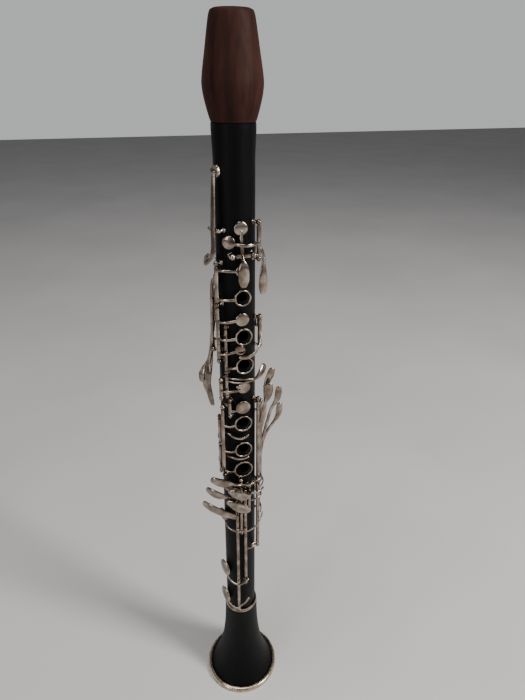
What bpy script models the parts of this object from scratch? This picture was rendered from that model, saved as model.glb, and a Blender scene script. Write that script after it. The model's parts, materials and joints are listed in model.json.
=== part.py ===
"""Full-Boehm soprano clarinet in A, standing on its bell, without mouthpiece.

Lengths in this file are millimetres and angles are degrees; meshes are written in metres.
The bore is the Z axis, the bell rim stands on z = 0 and the finger holes face -Y.
A place on the instrument is written (angle, radius, height): the angle runs round the bore
from the front, positive towards +X.
"""
import math

import bmesh
import bpy
from mathutils import Matrix, Vector

MM = 0.001
WELD = 2e-6
INSTRUMENT = "clarinet"
WORKING = "cutters"

# Driving dimensions of the wooden parts.
BODY_RADIUS = 15.0
BORE_RADIUS = 7.5
BELL_TOP = 108.0
BODY_TOP = 597.0
BARREL_TOP = 662.0
RIM_RADIUS = 40.0
SOCKET_RADIUS = 11.8
TENON_RADIUS = 10.9
FIT_GAP = 0.3
CHIMNEY_WALL = 1.2

# Driving dimensions of the keywork.
STACK_RADIUS = 20.0
INNER_RADIUS = 17.2
FRONT_RADIUS = 19.5
STEEL_RADIUS = 0.7
STEEL_CLEARANCE = 1.0
DRILL_OVERRUN = 9.0
TUBE_RADIUS = 1.7
THIN_TUBE = 1.5
BALL_RADIUS = 2.1
SMALL_BALL = 1.8
STEM_RADIUS = 1.2
POST_FOOT = 12.4
CUP_REST = 15.35
CUP_OPEN = 16.85
RING_REST = 17.6
SIDE_ANGLE = -102.0
SIDE_HEIGHT = 428.0
THUMB_ROD_ANGLE = -144.0
FORK_ANGLE = -77.0
FORK_RADIUS = 18.6
LEVER_FACING = 0.0
TOUCH_FACING = 4.0

# Facet counts.
BODY_SIDES = 28
TUBE_SIDES = 8
CUP_SIDES = 14
BAR_SIDES = 6
STEM_SIDES = 6
BAR_STEPS = 2


def place(angle, radius, height):
    """Point at an angle from the front, a radius from the bore axis and a height."""
    turn = math.radians(angle)
    return Vector((radius * math.sin(turn), -radius * math.cos(turn), height))


def outward(angle):
    """Unit vector pointing away from the bore."""
    return place(angle, 1.0, 0.0)


def sideways(angle):
    """Unit vector round the body, towards larger angles."""
    return Vector((math.cos(math.radians(angle)), math.sin(math.radians(angle)), 0.0))


def beside(angle, offset, radius, height):
    """Point in a plane touching the body: offset sideways, radius outwards at the given angle."""
    return outward(angle) * radius + sideways(angle) * offset + Vector((0.0, 0.0, height))


def collection(name):
    """Collection of this name, made and put in the scene when it is first asked for."""
    found = bpy.data.collections.get(name)
    if found is None:
        found = bpy.data.collections.new(name)
        bpy.context.scene.collection.children.link(found)
    return found


def stand_on(spot, way):
    """Matrix that takes the origin to a point and the Z axis to a direction."""
    turn = Vector((0.0, 0.0, 1.0)).rotation_difference(Vector(way))
    return Matrix.Translation(Vector(spot)) @ turn.to_matrix().to_4x4()


def mesh_object(name, mesh_data):
    """Turn a bmesh in millimetres into a working object in metres."""
    bmesh.ops.recalc_face_normals(mesh_data, faces=mesh_data.faces)
    bmesh.ops.scale(mesh_data, vec=(MM, MM, MM), verts=mesh_data.verts)
    mesh = bpy.data.meshes.new(name)
    mesh_data.to_mesh(mesh)
    mesh_data.free()
    thing = bpy.data.objects.new(name, mesh)
    collection(WORKING).objects.link(thing)
    return thing


def remove(thing):
    """Remove an object and its mesh."""
    mesh = thing.data
    bpy.data.objects.remove(thing)
    bpy.data.meshes.remove(mesh)


def evaluated_mesh(thing):
    """New mesh of the object with its modifiers applied."""
    bpy.context.view_layer.update()
    graph = bpy.context.evaluated_depsgraph_get()
    return bpy.data.meshes.new_from_object(thing.evaluated_get(graph))


def turned(profile, sides, origin=(0.0, 0.0, 0.0), axis=(0.0, 0.0, 1.0)):
    """Closed solid of revolution: a profile of (radius, height) pairs turned by a Screw modifier."""
    outline = bmesh.new()
    points = [outline.verts.new((radius, 0.0, height)) for radius, height in profile]
    pairs = list(zip(points, points[1:]))
    if profile[0][0] > 0.0 and profile[-1][0] > 0.0:
        pairs.append((points[-1], points[0]))
    for pair in pairs:
        outline.edges.new(pair)
    thing = mesh_object("outline", outline)
    screw = thing.modifiers.new("turn", "SCREW")
    screw.steps = sides
    screw.render_steps = sides
    screw.use_merge_vertices = True
    screw.merge_threshold = WELD
    mesh = evaluated_mesh(thing)
    remove(thing)
    data = bmesh.new()
    data.from_mesh(mesh)
    bpy.data.meshes.remove(mesh)
    bmesh.ops.remove_doubles(data, verts=data.verts, dist=WELD)
    bmesh.ops.scale(data, vec=(1.0 / MM, 1.0 / MM, 1.0 / MM), verts=data.verts)
    bmesh.ops.transform(data, matrix=stand_on(origin, axis), verts=data.verts)
    return mesh_object("turned", data)


def cylinder(start, end, radius, sides=TUBE_SIDES):
    """Solid cylinder between two points."""
    span = end - start
    data = bmesh.new()
    bmesh.ops.create_cone(data, cap_ends=True, segments=sides, radius1=radius, radius2=radius,
                          depth=span.length, matrix=stand_on((start + end) * 0.5, span.normalized()))
    return mesh_object("cylinder", data)


def ball(centre, radius, axis, sides=7, rows=5):
    """Faceted sphere with its poles on the given axis."""
    data = bmesh.new()
    bmesh.ops.create_uvsphere(data, u_segments=sides, v_segments=rows, radius=radius,
                              matrix=stand_on(centre, axis))
    return mesh_object("ball", data)


def set_origin(thing, point):
    """Move an object's origin to a point and leave its shape where it is."""
    thing.data.transform(Matrix.Translation(point * -MM))
    thing.location = point * MM


def smooth_path(stations):
    """Catmull-Rom path through stations of equal-length tuples."""
    path = []
    last = len(stations) - 1
    for index in range(last):
        before = stations[max(index - 1, 0)]
        here = stations[index]
        after = stations[index + 1]
        beyond = stations[min(index + 2, last)]
        for step in range(BAR_STEPS):
            t = step / BAR_STEPS
            point = []
            for a, b, c, d in zip(before, here, after, beyond):
                point.append(0.5 * (2.0 * b + (c - a) * t + (2.0 * a - 5.0 * b + 4.0 * c - d) * t * t
                                    + (3.0 * b - a - 3.0 * c + d) * t ** 3))
            path.append(tuple(point))
    path.append(tuple(stations[-1]))
    return path


def bar(stations, thickness=1.5, locate=place, facing=None):
    """Flattened bar through (angle, radius, height, width) stations.

    The thickness points away from the bore, or towards the facing angle if there is one.
    """
    path = smooth_path(stations)
    centres = [locate(*station[:3]) for station in path]
    data = bmesh.new()
    rings = []
    for index, (centre, station) in enumerate(zip(centres, path)):
        ahead = centres[min(index + 1, len(centres) - 1)] - centres[max(index - 1, 0)]
        ahead.normalize()
        flat = Vector((centre.x, centre.y, 0.0)).normalized() if facing is None else outward(facing)
        across = ahead.cross(flat).normalized()
        rise = across.cross(ahead).normalized()
        ring = []
        for side in range(BAR_SIDES):
            turn = 2.0 * math.pi * (side + 0.5) / BAR_SIDES
            shift = across * (station[3] * 0.5 * math.cos(turn)) + rise * (thickness * 0.5 * math.sin(turn))
            ring.append(data.verts.new(centre + shift))
        rings.append(ring)
    for lower, upper in zip(rings, rings[1:]):
        for side in range(BAR_SIDES):
            after = (side + 1) % BAR_SIDES
            data.faces.new((lower[side], lower[after], upper[after], upper[side]))
    data.faces.new(list(reversed(rings[0])))
    data.faces.new(rings[-1])
    return mesh_object("bar", data)


def cup(angle, radius, height, diameter, thickness=2.4):
    """Pad cup with its flat mouth at the given radius and a shallow domed back."""
    rim = diameter * 0.5
    profile = [(0.0, 0.0), (rim, 0.0), (rim, thickness * 0.55), (rim * 0.86, thickness * 0.85),
               (rim * 0.45, thickness), (0.0, thickness)]
    return turned(profile, CUP_SIDES, place(angle, radius, height), outward(angle))


def finger_ring(angle, radius, height, diameter, wall=1.4, thickness=1.3):
    """Flat finger ring whose lower face is at the given radius."""
    outer = diameter * 0.5
    inner = outer - wall
    profile = [(outer, 0.0), (outer, thickness * 0.6), (outer - wall * 0.35, thickness),
               (inner + wall * 0.3, thickness), (inner, thickness * 0.6), (inner, 0.0)]
    return turned(profile, CUP_SIDES + 2, place(angle, radius, height), outward(angle))


def material_for(name, colour, roughness, metallic):
    """Principled material for one part."""
    material = bpy.data.materials.new(name + "_material")
    material.use_nodes = True
    shader = material.node_tree.nodes["Principled BSDF"]
    shader.inputs["Base Color"].default_value = (*colour, 1.0)
    shader.inputs["Roughness"].default_value = roughness
    shader.inputs["Metallic"].default_value = metallic
    return material


def boolean(target, tool, operation):
    """Apply one exact Boolean to target and remove the tool."""
    modifier = target.modifiers.new(operation, "BOOLEAN")
    modifier.operation = operation
    modifier.solver = "EXACT"
    modifier.object = tool
    result = evaluated_mesh(target)
    old = target.data
    target.modifiers.clear()
    target.data = result
    bpy.data.meshes.remove(old)
    remove(tool)


def finish(name, pieces, cutters, look):
    """Unite the pieces, cut the cutters away, tidy the mesh and give it a name and a material."""
    thing = pieces[0]
    for piece in pieces[1:]:
        boolean(thing, piece, "UNION")
    for cutter in cutters:
        boolean(thing, cutter, "DIFFERENCE")
    data = bmesh.new()
    data.from_mesh(thing.data)
    bmesh.ops.remove_doubles(data, verts=data.verts, dist=WELD)
    bmesh.ops.dissolve_degenerate(data, edges=data.edges, dist=WELD)
    bmesh.ops.triangulate(data, faces=data.faces)
    data.to_mesh(thing.data)
    data.free()
    thing.name = name
    thing.data.name = name
    thing.data.materials.clear()
    thing.data.materials.append(material_for(name, *look))
    thing.data.shade_smooth()
    thing.data.set_sharp_from_angle(angle=math.radians(32.0))
    collection(WORKING).objects.unlink(thing)
    collection(INSTRUMENT).objects.link(thing)
    return thing


GRENADILLA = ((0.018, 0.016, 0.016), 0.42, 0.0)
ROSEWOOD = ((0.10, 0.028, 0.016), 0.38, 0.0)
NICKEL = ((0.62, 0.57, 0.52), 0.30, 1.0)
STEEL = ((0.50, 0.47, 0.44), 0.34, 1.0)
CHAMPAGNE = ((0.68, 0.58, 0.45), 0.33, 1.0)
CORK = ((0.62, 0.42, 0.24), 0.85, 0.0)

# Posts collected while the rods are made, so that the body can be drilled for their stems.
POST_HOLES = []


def post(point, direction, ball_radius=BALL_RADIUS):
    """Ball-headed post screwed into the body; returns its solids and notes the hole it needs."""
    depth = point.dot(direction) - POST_FOOT
    foot = point - direction * depth
    POST_HOLES.append((foot, direction))
    return [ball(point, ball_radius, direction), cylinder(foot, point, STEM_RADIUS, STEM_SIDES)]


def straight_rod(name, angle, radius, heights, ball_radius=BALL_RADIUS):
    """Upright steel hinge rod with a post at every height."""
    pieces = [cylinder(place(angle, radius, min(heights)), place(angle, radius, max(heights)),
                       STEEL_RADIUS, STEM_SIDES)]
    for height in heights:
        pieces += post(place(angle, radius, height), outward(angle), ball_radius)
    return finish(name, pieces, [], STEEL)


def cross_rod(name, angle, radius, height, half_span, ball_radius=BALL_RADIUS):
    """Hinge rod lying across the body between two posts."""
    ends = [beside(angle, side * half_span, radius, height) for side in (-1.0, 1.0)]
    pieces = [cylinder(ends[0], ends[1], STEEL_RADIUS, STEM_SIDES)]
    for end in ends:
        pieces += post(end, outward(angle), ball_radius)
    return finish(name, pieces, [], STEEL)


def upright_key(name, angle, radius, low, high, pieces, tube=TUBE_RADIUS):
    """Key whose hollow tube runs up a rod from low to high."""
    solid = cylinder(place(angle, radius, low), place(angle, radius, high), tube)
    hollow = cylinder(place(angle, radius, low - DRILL_OVERRUN), place(angle, radius, high + DRILL_OVERRUN),
                      STEEL_CLEARANCE)
    key = finish(name, [solid] + pieces, [hollow], NICKEL)
    set_origin(key, place(angle, radius, (low + high) * 0.5))


def cross_key(name, angle, radius, height, from_side, to_side, pieces, tube=TUBE_RADIUS):
    """Key whose hollow tube lies across the body on a cross rod."""
    solid = cylinder(beside(angle, from_side, radius, height), beside(angle, to_side, radius, height), tube)
    hollow = cylinder(beside(angle, from_side - DRILL_OVERRUN, radius, height),
                      beside(angle, to_side + DRILL_OVERRUN, radius, height), STEEL_CLEARANCE)
    key = finish(name, [solid] + pieces, [hollow], NICKEL)
    set_origin(key, place(angle, radius, height))


def make_rods():
    """All hinge rods with their posts."""
    cross_rod("register_saddle", -68.0, 19.0, 526.0, 5.2, 1.6)
    cross_rod("a_pivot_rod", 2.3, 18.6, 508.0, 8.2, 2.4)
    straight_rod("g_sharp_rod", 45.0, STACK_RADIUS, (531.0, 504.0))
    cross_rod("side_key_rod", SIDE_ANGLE, 19.5, SIDE_HEIGHT, 9.2)
    straight_rod("thumb_ring_rod", THUMB_ROD_ANGLE, 18.6, (497.0, 476.0), SMALL_BALL)
    straight_rod("upper_stack_rod", -62.0, STACK_RADIUS, (501.0, 468.0, 419.0))
    straight_rod("inner_rod", -46.0, INNER_RADIUS, (449.5, 408.4, 385.2), SMALL_BALL)
    straight_rod("sliver_key_rod", 60.0, 19.2, (454.0, 429.0))
    straight_rod("c_sharp_cup_rod", -58.5, STACK_RADIUS, (401.0, 383.5))
    straight_rod("middle_vent_rod", -37.0, 18.0, (381.8, 366.5), SMALL_BALL)
    straight_rod("lower_stack_rod", -56.0, STACK_RADIUS, (374.5, 300.5))
    straight_rod("fork_key_rod", FORK_ANGLE, FORK_RADIUS, (361.0, 331.5, 300.5), SMALL_BALL)
    straight_rod("low_e_flat_rod", -21.0, FRONT_RADIUS, (266.5, 117.0), SMALL_BALL)
    straight_rod("f_keys_rod", -10.0, FRONT_RADIUS, (297.2, 280.4, 231.0), SMALL_BALL)
    straight_rod("e_key_rod", 1.0, FRONT_RADIUS, (283.4, 159.5), SMALL_BALL)
    straight_rod("a_flat_rod", 13.0, FRONT_RADIUS, (287.6, 258.0), SMALL_BALL)
    straight_rod("left_lever_rod_1", 46.0, STACK_RADIUS, (379.0, 204.0))
    straight_rod("left_lever_rod_2", 61.0, STACK_RADIUS, (374.0, 286.5))
    straight_rod("left_lever_rod_3", 76.0, STACK_RADIUS, (370.0, 280.4))
    straight_rod("left_lever_rod_4", 93.0, STACK_RADIUS, (358.0, 241.0))


def beside_side_keys(offset, radius, height):
    """Point in the plane that the four side keys share."""
    return beside(SIDE_ANGLE, offset, radius, height)


def ring_arm(angle, height, diameter, stations, thickness=1.3):
    """Finger ring with the arm that joins its edge to the stations before it."""
    reach = 0.7 - diameter * 0.5
    level = RING_REST + 0.6
    end_angle = angle + math.degrees(math.atan2(reach, level))
    end = (end_angle, math.hypot(reach, level), height - 1.0, 2.4)
    return [bar(stations + [end], thickness), finger_ring(angle, RING_REST, height, diameter)]


def make_upper_keys():
    """Register key, throat keys, side keys, thumb ring and the upper stack."""
    cross_key("register_key", -68.0, 19.0, 526.0, -3.2, 3.2, [
        bar([(-69.0, 17.9, 565.0, 4.0), (-68.0, 19.2, 545.0, 5.2), (-68.0, 20.2, 527.0, 5.2),
             (-68.0, 20.2, 516.0, 5.2), (-68.5, 20.8, 508.8, 5.4), (-74.0, 22.2, 504.6, 4.4),
             (-88.0, 23.4, 499.6, 4.4), (-104.0, 23.8, 498.4, 4.6), (-118.0, 23.6, 499.0, 5.6),
             (-128.0, 23.2, 500.0, 4.8)], 1.8),
        cup(-68.0, CUP_REST, 566.5, 9.4, 2.6)])
    cross_key("a_key", 2.3, 18.6, 508.0, -5.4, 5.4, [
        bar([(0.0, 19.6, 507.0, 3.0), (-0.5, 18.9, 516.0, 2.4), (-1.0, 17.6, 526.0, 2.4)], 1.6),
        cup(-1.0, CUP_REST, 528.0, 10.3),
        bar([(0.0, 19.4, 509.0, 2.2), (0.0, 21.4, 506.2, 2.4), (0.0, 22.6, 503.2, 5.6),
             (0.0, 23.0, 498.0, 8.2), (0.0, 22.8, 490.6, 8.2), (0.0, 22.4, 487.0, 5.8)], 2.0)])
    upright_key("g_sharp_key", 45.0, STACK_RADIUS, 506.5, 528.5, [
        bar([(43.0, 21.2, 517.0, 2.6), (26.0, 23.0, 517.0, 2.4), (3.5, 23.4, 517.0, 2.4),
             (-14.0, 20.6, 517.4, 2.4), (-27.0, 18.0, 517.6, 2.4)], 1.5),
        cup(-32.0, CUP_REST, 517.6, 10.1),
        bar([(47.5, 21.4, 511.4, 2.6), (51.6, 22.4, 507.6, 2.6), (53.4, 23.0, 502.0, 2.6)], 1.6),
        bar([(53.4, 22.9, 503.0, 2.6), (52.4, 22.8, 497.0, 4.0), (51.0, 22.8, 489.0, 6.4),
             (50.6, 22.8, 481.0, 7.0), (50.4, 22.6, 477.0, 5.2)], 1.8, facing=TOUCH_FACING)])
    side_keys = (
        (5.0, 486.0, 5.0, [(6.6, 22.4, 420.0, 2.8), (8.8, 23.6, 414.0, 4.4),
                           (10.4, 24.6, 406.0, 6.4), (10.8, 25.2, 399.5, 4.8)]),
        (-1.0, 472.0, 1.7, [(3.8, 22.0, 412.0, 2.4), (5.6, 24.4, 394.0, 3.4),
                            (7.4, 24.0, 384.0, 6.4), (9.0, 22.4, 375.5, 5.0)]),
        (-5.2, 460.4, -1.8, [(-1.0, 23.4, 415.0, 2.4), (0.2, 28.0, 406.5, 4.2),
                             (1.0, 30.4, 400.0, 6.2), (0.6, 30.8, 394.5, 4.6)]),
        (-9.4, 448.4, -5.3, [(-5.4, 22.0, 412.0, 2.6), (-3.4, 29.2, 398.0, 3.8),
                             (-0.6, 27.0, 387.0, 6.2), (1.0, 23.6, 377.0, 4.8)]))
    for number, (pad, level, lane, touch) in enumerate(side_keys, start=1):
        lever = [(pad, 17.9, level, 2.8), (lane, 19.2, level - 9.5, 2.6), (lane, 20.2, 436.0, 2.6),
                 (lane, 21.0, SIDE_HEIGHT, 2.8)] + touch[:2]
        cross_key("side_key_%d" % number, SIDE_ANGLE, 19.5, SIDE_HEIGHT, lane - 1.4, lane + 1.4, [
            bar(lever, 2.7, beside_side_keys),
            bar(touch[1:], 2.3, beside_side_keys, -55.0),
            turned([(0.0, 0.0), (4.7, 0.0), (4.7, 1.3), (3.4, 2.3), (0.0, 2.6)], CUP_SIDES,
                   beside_side_keys(pad, CUP_REST, level), outward(SIDE_ANGLE))])
    upright_key("thumb_ring_key", THUMB_ROD_ANGLE, 18.6, 478.3, 494.7, [
        bar([(213.5, 19.4, 487.0, 2.6), (207.0, 19.6, 487.0, 2.4), (200.5, 19.4, 487.0, 2.4)], 1.4),
        finger_ring(180.0, RING_REST, 487.0, 15.5, 1.8)], THIN_TUBE)
    upright_key("first_ring_key", -62.0, STACK_RADIUS, 470.5, 498.4, [
        bar([(-60.0, 21.0, 496.6, 2.4), (-42.0, 20.4, 496.8, 2.2), (-20.0, 19.0, 496.6, 2.2),
             (-8.0, 18.6, 496.4, 2.2)], 1.5),
        cup(-1.0, CUP_OPEN, 496.6, 9.4),
        ] + ring_arm(1.0, 475.0, 13.5, [(-60.0, 20.6, 473.0, 2.4), (-38.0, 19.6, 473.4, 2.2)]))
    upright_key("second_ring_key", -62.0, STACK_RADIUS, 434.5, 465.4, [
        bar([(-60.0, 21.0, 454.4, 2.4), (-42.0, 20.6, 455.0, 2.2), (-14.0, 18.6, 456.4, 2.2)], 1.5),
        cup(-1.0, CUP_OPEN, 457.0, 11.0),
        ] + ring_arm(2.5, 442.0, 14.6, [(-60.5, 21.4, 439.6, 2.4), (-46.0, 21.2, 439.8, 2.2)]))
    upright_key("vent_key", -62.0, STACK_RADIUS, 421.4, 434.1, [
        bar([(-60.5, 21.4, 426.2, 2.2), (-46.0, 21.2, 427.0, 2.0), (-17.0, 18.4, 429.4, 2.2)], 1.3),
        cup(-7.0, CUP_OPEN, 430.4, 8.4, 2.2)])
    upright_key("third_ring_key", -46.0, INNER_RADIUS, 410.7, 447.3, [
        ] + ring_arm(4.5, 416.0, 15.6, [(-44.0, 18.2, 413.0, 2.2), (-34.0, 18.6, 413.4, 2.2)]), THIN_TUBE)
    upright_key("sliver_key", 60.0, 19.2, 431.5, 451.6, [
        bar([(58.0, 20.4, 440.0, 2.4), (46.0, 22.0, 434.5, 2.6), (24.0, 22.6, 427.6, 2.8),
             (4.0, 22.8, 425.6, 3.2), (-9.0, 22.6, 426.2, 2.4)], 1.3),
        bar([(62.0, 20.2, 446.0, 2.4), (72.0, 19.0, 446.0, 2.2), (81.0, 17.6, 446.0, 2.2)], 1.3),
        cup(86.0, CUP_REST, 446.0, 9.0)])


def make_lower_keys():
    """Articulated C sharp key, lower stack, fork levers and the right-hand little-finger keys."""
    upright_key("c_sharp_lever", -46.0, INNER_RADIUS, 387.3, 406.3, [
        bar([(-44.0, 18.4, 404.9, 1.5), (-20.0, 20.2, 405.0, 1.5), (4.0, 21.0, 404.6, 1.5),
             (21.0, 22.0, 403.2, 2.2)], 1.4),
        bar([(-44.0, 18.4, 401.9, 1.5), (-20.0, 20.2, 401.6, 1.5), (4.0, 21.0, 401.8, 1.5),
             (21.0, 22.0, 402.6, 2.2), (30.0, 22.8, 404.0, 2.8)], 1.5),
        bar([(27.0, 22.6, 403.6, 2.8), (35.0, 23.2, 405.4, 4.6), (44.0, 23.6, 408.0, 6.0),
             (52.0, 23.8, 410.6, 5.6)], 1.9, facing=TOUCH_FACING)], THIN_TUBE)
    upright_key("c_sharp_cup_key", -58.5, STACK_RADIUS, 385.9, 398.6, [
        bar([(-56.5, 21.0, 391.6, 2.2), (-45.0, 20.8, 391.6, 2.0), (-20.0, 18.6, 392.2, 2.2),
             (-6.0, 17.6, 393.2, 2.2)], 1.4),
        cup(2.7, CUP_REST, 394.3, 11.3),
        bar([(-3.0, 17.2, 395.0, 3.0), (-12.0, 18.2, 396.2, 4.2), (-16.0, 18.2, 396.4, 2.4)], 1.5)])
    upright_key("middle_vent_key", -37.0, 18.0, 368.6, 379.7, [
        bar([(-35.0, 18.9, 371.6, 2.2), (-22.0, 18.5, 372.4, 2.0), (-17.0, 18.4, 373.0, 2.2)], 1.4),
        cup(-1.0, CUP_OPEN, 375.4, 12.6)], THIN_TUBE)
    rings = ((-1.0, 359.0, 356.0, 15.8), (-1.0, 331.0, 328.6, 15.8), (-2.0, 308.6, 306.0, 17.2))
    pieces = []
    for angle, height, arm_height, diameter in rings:
        pieces += ring_arm(angle, height, diameter, [(-54.0, 20.6, arm_height, 2.4),
                                                   (-38.0, 19.8, arm_height, 2.2)])
    upright_key("lower_ring_key", -56.0, STACK_RADIUS, 302.9, 372.1, pieces)
    forks = ((342.6, 333.9, 358.7, 338.0), (320.2, 302.9, 329.1, 312.0))
    for number, (level, low, high, pad) in enumerate(forks, start=1):
        rise = 3.4 if number == 1 else 0.6
        upright_key("fork_key_%d" % number, FORK_ANGLE, FORK_RADIUS, low, high, [
            bar([(-74.0, 17.8, level + rise, 2.0), (-66.0, 17.1, level + rise, 2.0),
                 (-46.0, 17.0, level + rise, 2.2), (-25.0, 17.5, level + rise * 0.3, 2.4),
                 (-5.0, 17.7, level, 2.4), (14.0, 17.6, level + rise * 0.6, 2.0)], 1.2),
            bar([(-79.0, 19.6, pad, 2.2), (-89.0, 18.8, pad, 2.2), (-98.0, 17.7, pad, 2.2)], 1.3),
            cup(-106.0, CUP_REST, pad, 9.0)], THIN_TUBE)
    upright_key("f_sharp_key", -10.0, FRONT_RADIUS, 282.6, 295.0, [
        bar([(-11.0, 20.6, 293.2, 2.4), (-19.0, 22.2, 293.8, 2.8), (-28.0, 24.0, 295.6, 4.2),
             (-37.0, 26.2, 297.0, 8.8), (-49.0, 29.0, 298.6, 10.6), (-59.5, 31.8, 300.2, 9.2)], 3.2),
        bar([(-12.0, 20.2, 286.4, 2.2), (-28.0, 19.6, 286.4, 2.2), (-42.0, 18.0, 286.4, 2.2)], 1.3),
        cup(-52.0, CUP_OPEN, 286.4, 11.0),
        bar([(-8.6, 20.4, 291.8, 2.2), (4.0, 21.9, 291.8, 2.2), (24.0, 22.0, 291.8, 2.6)], 1.2)],
        THIN_TUBE)
    upright_key("f_key", -10.0, FRONT_RADIUS, 233.1, 278.3, [
        cylinder(place(-10.0, 20.2, 272.0), place(-10.0, 26.6, 272.0), 1.3, 8),
        bar([(0.0, 27.2, 266.8, 7.6), (-9.0, 27.8, 269.4, 9.6), (-19.0, 28.2, 272.8, 9.8),
             (-29.0, 28.4, 275.8, 8.0), (-35.0, 28.4, 277.4, 5.4)], 3.0),
        bar([(-66.0, 19.0, 243.4, 2.2), (-45.0, 21.8, 238.0, 2.0), (-21.0, 23.0, 236.0, 2.0),
             (-10.0, 22.2, 235.6, 2.2), (1.0, 23.2, 235.6, 2.0), (22.0, 23.3, 237.0, 2.0),
             (46.0, 23.4, 241.6, 2.2), (56.0, 23.4, 245.0, 2.6)], 1.3),
        cylinder(place(-10.0, 20.0, 235.6), place(-10.0, 22.4, 235.6), 1.2, 8),
        cup(-74.0, CUP_OPEN + 0.5, 246.5, 13.5)], THIN_TUBE)
    upright_key("e_key", 1.0, FRONT_RADIUS, 161.7, 281.2, [
        cylinder(place(1.0, 20.2, 278.6), place(1.0, 23.2, 278.6), 1.2, 8),
        bar([(3.0, 23.0, 278.6, 2.2), (-10.0, 23.0, 278.6, 2.2), (-28.0, 23.4, 279.4, 2.2),
             (-44.0, 26.4, 281.0, 4.6), (-52.0, 28.8, 282.2, 9.0), (-62.0, 31.6, 284.0, 10.4),
             (-70.5, 33.6, 285.6, 8.6)], 3.0),
        cylinder(place(1.0, 20.0, 165.6), place(1.0, 22.8, 165.6), 1.2, 8),
        bar([(4.0, 22.4, 166.6, 2.4), (-6.0, 23.0, 163.6, 2.4), (-21.0, 23.2, 161.4, 2.4),
             (-42.0, 21.4, 162.6, 2.4), (-62.0, 19.2, 166.6, 2.6)], 1.6),
        cup(-76.0, CUP_OPEN + 0.3, 171.0, 17.5),
        bar([(3.0, 20.6, 209.4, 2.2), (14.0, 21.6, 209.4, 2.2), (25.0, 21.8, 209.4, 2.4)], 1.3)],
        THIN_TUBE)
    upright_key("low_e_flat_key", -21.0, FRONT_RADIUS, 119.2, 264.3, [
        bar([(-21.5, 20.6, 254.0, 4.0), (-23.5, 23.6, 254.8, 6.0), (-34.0, 26.2, 259.0, 8.0),
             (-50.0, 30.0, 263.4, 9.8), (-65.0, 34.0, 266.6, 10.4), (-74.5, 36.6, 268.2, 8.8)], 3.0),
        bar([(-22.0, 20.8, 121.4, 2.4), (-40.0, 20.6, 122.2, 2.4), (-62.0, 19.4, 125.2, 2.6)], 1.6),
        cup(-78.0, CUP_OPEN + 0.3, 129.0, 17.5),
        bar([(-20.0, 20.8, 124.6, 2.4), (-8.0, 20.8, 127.6, 2.4), (3.0, 20.4, 131.4, 2.6),
             (8.0, 20.0, 133.4, 3.6)], 1.4)], THIN_TUBE)
    upright_key("a_flat_key", 13.0, FRONT_RADIUS, 260.2, 285.4, [
        bar([(12.0, 20.6, 283.0, 2.2), (9.0, 24.0, 283.2, 2.6), (5.0, 26.2, 283.2, 3.6),
             (-4.0, 27.5, 283.8, 8.0), (-14.0, 28.0, 286.2, 9.4), (-24.0, 27.9, 288.4, 8.4),
             (-31.0, 27.6, 289.8, 5.8)], 3.0),
        bar([(15.0, 20.6, 271.0, 2.2), (32.0, 23.0, 271.8, 2.2), (47.0, 23.3, 272.6, 2.2),
             (62.0, 17.8, 273.4, 2.2)], 1.4),
        cup(69.0, CUP_REST, 273.6, 9.6),
        bar([(15.0, 20.6, 280.2, 2.2), (28.0, 24.4, 280.6, 2.2), (46.0, 25.6, 281.2, 2.8)], 1.3)],
        THIN_TUBE)


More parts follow.
